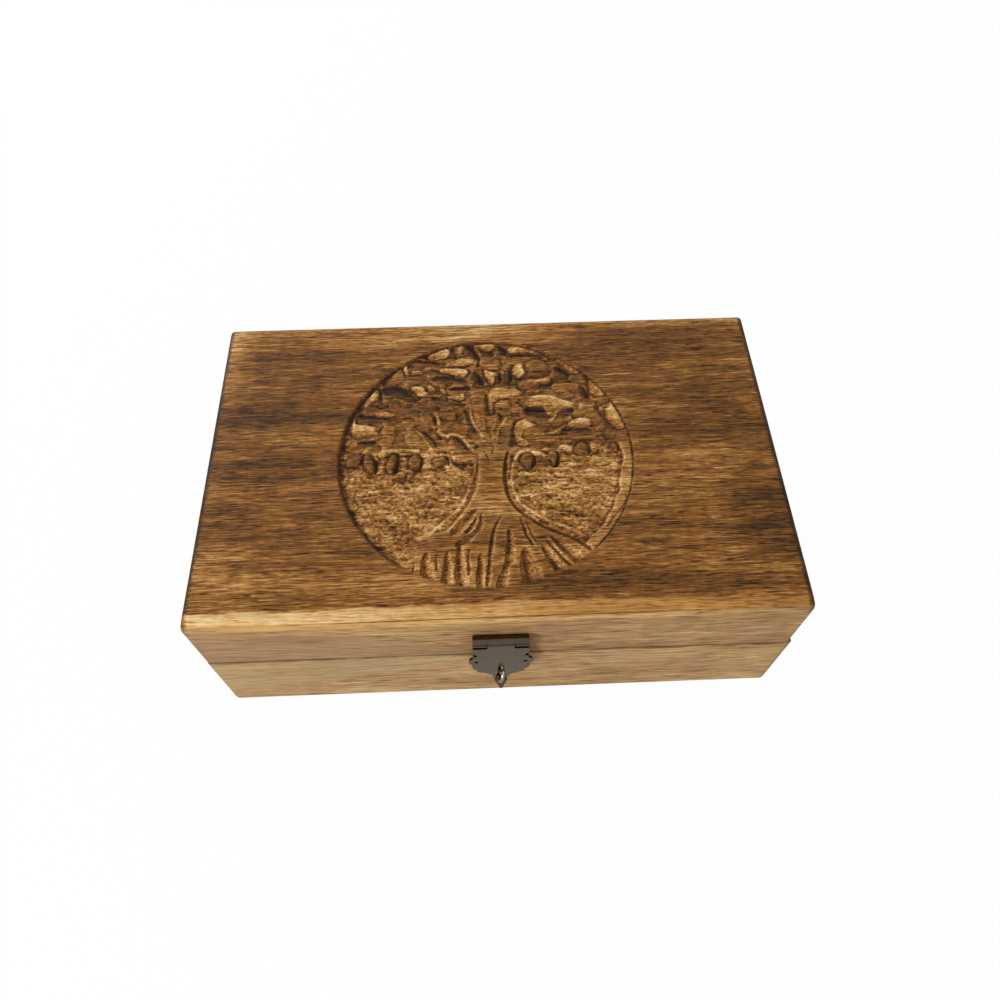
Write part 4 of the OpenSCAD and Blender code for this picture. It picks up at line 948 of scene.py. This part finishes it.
def round_over(x, y, low, high):
    """Draws the board's corners in to their plan, and says how far its face falls towards each side."""
    dx = np.minimum(x - low[0], high[0] - x)
    dy = np.minimum(y - low[1], high[1] - y)
    edge = np.where(y < 0, FRONT_ROUND, SIDE_ROUND)
    fall_x = SIDE_ROUND - np.sqrt(np.maximum(SIDE_ROUND ** 2 - np.maximum(SIDE_ROUND - dx, 0) ** 2, 0))
    fall_y = edge - np.sqrt(np.maximum(edge ** 2 - np.maximum(edge - dy, 0) ** 2, 0))
    fall = np.minimum(np.maximum(fall_x, fall_y) + 0.35 * np.minimum(fall_x, fall_y), FRONT_ROUND)
    # Each square corner becomes a quarter circle
    cx, cy = CORNER_ROUND - dx, CORNER_ROUND - dy
    in_corner = (cx > 0) & (cy > 0)
    pull = np.where(in_corner, np.maximum(cx, cy) / np.maximum(np.hypot(cx, cy), 1e-6), 1)
    x = x + np.where(in_corner, np.sign(x) * (cx * pull - cx), 0)
    y = y + np.where(in_corner, np.sign(y) * (cy * pull - cy), 0)
    return x, y, fall


def close_below(mesh, bottom):
    """Draws the face's outline down to the board's underside and closes it there."""
    shell = bmesh.new()
    shell.from_mesh(mesh)
    rim = [e for e in shell.edges if e.is_boundary]
    drawn = bmesh.ops.extrude_edge_only(shell, edges=rim)["geom"]
    for vert in [v for v in drawn if isinstance(v, bmesh.types.BMVert)]:
        vert.co.z = bottom
    bmesh.ops.holes_fill(shell, edges=[e for e in shell.edges if e.is_boundary], sides=0)
    bmesh.ops.recalc_face_normals(shell, faces=shell.faces)
    for face in shell.faces:
        face.smooth = len(face.verts) == 4
    shell.to_mesh(mesh)
    shell.free()


class CARVEDBOX_OT_lid_top(bpy.types.Operator):
    """Carve the lid's top board: one board with rounded edges and the tree cut into its face"""

    bl_idname = "carved_box.lid_top"
    bl_label = "Carve the lid's top board"

    def execute(self, context):
        group = context.scene.carved_box_sizes
        # The carving is drawn in millimetres
        sizes = SimpleNamespace(**{name: getattr(group, name) / MM for name in group.__annotations__})
        low, high = [np.array(c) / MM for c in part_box("lid_top_board")]
        reach = sizes.circle + 0.6
        xs, ys = [grid_lines(low[n], high[n], middle - reach, middle + reach, sizes.pitch, first, SIDE_ROUND)
                  for n, middle, first in ((0, sizes.middle_x, SIDE_ROUND), (1, sizes.middle_y, FRONT_ROUND))]
        mesh = grid_mesh("carved_lid_top", len(xs) - 1, len(ys) - 1, 1)
        # Each point of the mesh lies on one column and one row of the grid lines
        flat = np.zeros(len(mesh.vertices) * 3)
        mesh.vertices.foreach_get("co", flat)
        flat = flat.reshape(-1, 3)
        column = np.rint((flat[:, 0] + 1) / 2 * (len(xs) - 1)).astype(int)
        row = np.rint((flat[:, 1] + 1) / 2 * (len(ys) - 1)).astype(int)
        carved = carve(xs - sizes.middle_x, ys - sizes.middle_y, sizes)
        height, cut, tone = [values[row, column] for values in carved]
        x, y, fall = round_over(xs[column], ys[row], low, high)
        # Slight waviness left by sanding by hand
        wave = 0.08 * (value_noise(x, y, 40, 22, 9) - 1)
        z = high[2] - fall + np.minimum(height, 0) + wave * np.where(fall < 0.05, 1, 0.5)
        mesh.vertices.foreach_set("co", (np.stack([x, y, z], 1) * MM).ravel())
        for name, values in (("cut", cut), ("tone", tone)):
            mesh.attributes.new(name, "FLOAT", "POINT").data.foreach_set("value", values)
        close_below(mesh, low[2] * MM)
        board = new_object("carved_lid_top", mesh)
        dress(board, flame_burnt_mango("flame burnt mango, carved"))
        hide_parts("lid_top_board")
        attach(board, "lid")
        return {"FINISHED"}


class CARVEDBOX_OT_boards(bpy.types.Operator):
    """Finish the boards and rails of the box, each with its own run of the grain"""

    bl_idname = "carved_box.boards"
    bl_label = "Finish the boards"

    def execute(self, context):
        dress(NODES["lid_front_rail"], sanded_mango("sanded mango, lid front", RAIL_WOOD))
        dress(NODES["base_front_board"], sanded_mango("sanded mango, base front", BASE_WOOD))
        for name, shift, along in (
            ("lid_back_rail", (2.5, 0.9, 2.2), "X"), ("base_back_board", (5.5, 0.9, 2.2), "X"),
            ("lid_left_rail", (1.1, 0.3, 1.9), "Y"), ("lid_right_rail", (2.9, 0.3, 1.9), "Y"),
            ("base_left_board", (6.1, 0.3, 1.9), "Y"), ("base_right_board", (7.3, 0.3, 1.9), "Y"),
        ):
            finish = f"flamed mango, {name.replace('_', ' ')}"
            dress(NODES[name], flamed_side(finish, shift, along))
        dress(NODES["base_bottom_panel"], raw_plywood("raw plywood panel"))
        return {"FINISHED"}


class CARVEDBOX_OT_hardware(bpy.types.Operator):
    """Finish the hasp, its staple and the hinges"""

    bl_idname = "carved_box.hardware"
    bl_label = "Finish the hardware"

    def execute(self, context):
        colours = context.scene.carved_box_colours
        hasp = plated_steel("antique plated steel, hasp", colours.hasp, 0.09)
        wire = plated_steel("bright steel wire", colours.wire, 0.16)
        hinge = plated_steel("antique plated steel, hinges", colours.hasp, 0.3)
        for name, node in NODES.items():
            if "hinge" in name:
                dress(node, hinge)
            elif "hasp" in name or "staple" in name:
                dress(node, wire if name == "staple_loop" else hasp)
        return {"FINISHED"}


class CARVEDBOX_OT_stage(bpy.types.Operator):
    """Set the photograph's camera, a plain white floor and soft light"""

    bl_idname = "carved_box.stage"
    bl_label = "Set the stage"

    def execute(self, context):
        scene = context.scene
        scene.view_settings.view_transform = "Standard"
        lens = bpy.data.cameras.new("photograph camera")
        lens.sensor_width = SENSOR
        lens.lens = FOCAL * SENSOR / PICTURE
        lens.shift_x = (PICTURE / 2 - PRINCIPAL[0]) / PICTURE
        lens.shift_y = (PRINCIPAL[1] - PICTURE / 2) / PICTURE
        camera = new_object("photograph camera", lens)
        turn = Matrix(CAMERA_AXES).transposed().to_4x4()
        camera.matrix_world = Matrix.Translation([c * MM for c in CAMERA_AT]) @ turn
        scene.camera = camera

        floor = new_object("white_floor", grid_mesh("white_floor", 1, 1, 4))
        dress(floor, white_paper("white paper floor"))

        world = bpy.data.worlds.new("white room")
        scene.world = world
        world.use_nodes = True
        tree = world.node_tree
        tree.nodes.clear()
        seen = add(tree, "Math", {0: add(tree, "LightPath", out="Is Camera Ray"),
                                  1: add(tree, "LightPath", out="Is Glossy Ray")}, operation="MAXIMUM")
        strength = add(tree, "MapRange", {"Value": seen, "To Min": ROOM_LIGHT, "To Max": 1.0})
        back = add(tree, "Background", {"Color": (1, 1, 1, 1), "Strength": strength})
        add(tree, "OutputWorld", {"Surface": back})

        for name, place, power, size in LAMPS:
            lamp = bpy.data.lights.new(name, "AREA")
            lamp.shape = "DISK"
            lamp.size = size
            lamp.energy = power
            light = new_object(name, lamp)
            turn = Vector(place).to_track_quat("Z", "Y").to_matrix().to_4x4()
            light.matrix_world = Matrix.Translation(place) @ turn
        return {"FINISHED"}


class CARVEDBOX_PT_panel(bpy.types.Panel):
    """Buttons for each group of pieces, with the sizes and colours they use"""

    bl_idname = "CARVEDBOX_PT_panel"
    bl_label = "Carved Box"
    bl_space_type = "VIEW_3D"
    bl_region_type = "UI"
    bl_category = "Carved Box"

    def draw(self, context):
        for group in (context.scene.carved_box_sizes, context.scene.carved_box_colours):
            for name in group.__annotations__:
                self.layout.prop(group, name)
        for operator in OPERATORS:
            self.layout.operator(operator.bl_idname)


OPERATORS = (CARVEDBOX_OT_stage, CARVEDBOX_OT_lid_top, CARVEDBOX_OT_boards, CARVEDBOX_OT_hardware)
CLASSES = (CarvedBoxSizes, CarvedBoxColours) + OPERATORS + (CARVEDBOX_PT_panel,)


def register():
    for cls in CLASSES:
        bpy.utils.register_class(cls)
    bpy.types.Scene.carved_box_sizes = PointerProperty(type=CarvedBoxSizes)
    bpy.types.Scene.carved_box_colours = PointerProperty(type=CarvedBoxColours)


def unregister():
    del bpy.types.Scene.carved_box_colours
    del bpy.types.Scene.carved_box_sizes
    for cls in reversed(CLASSES):
        bpy.utils.unregister_class(cls)


def main():
    """Makes and dresses every piece."""
    register()
    bpy.ops.carved_box.stage()
    bpy.ops.carved_box.lid_top()
    bpy.ops.carved_box.boards()
    bpy.ops.carved_box.hardware()


if __name__ == "__main__":
    main()
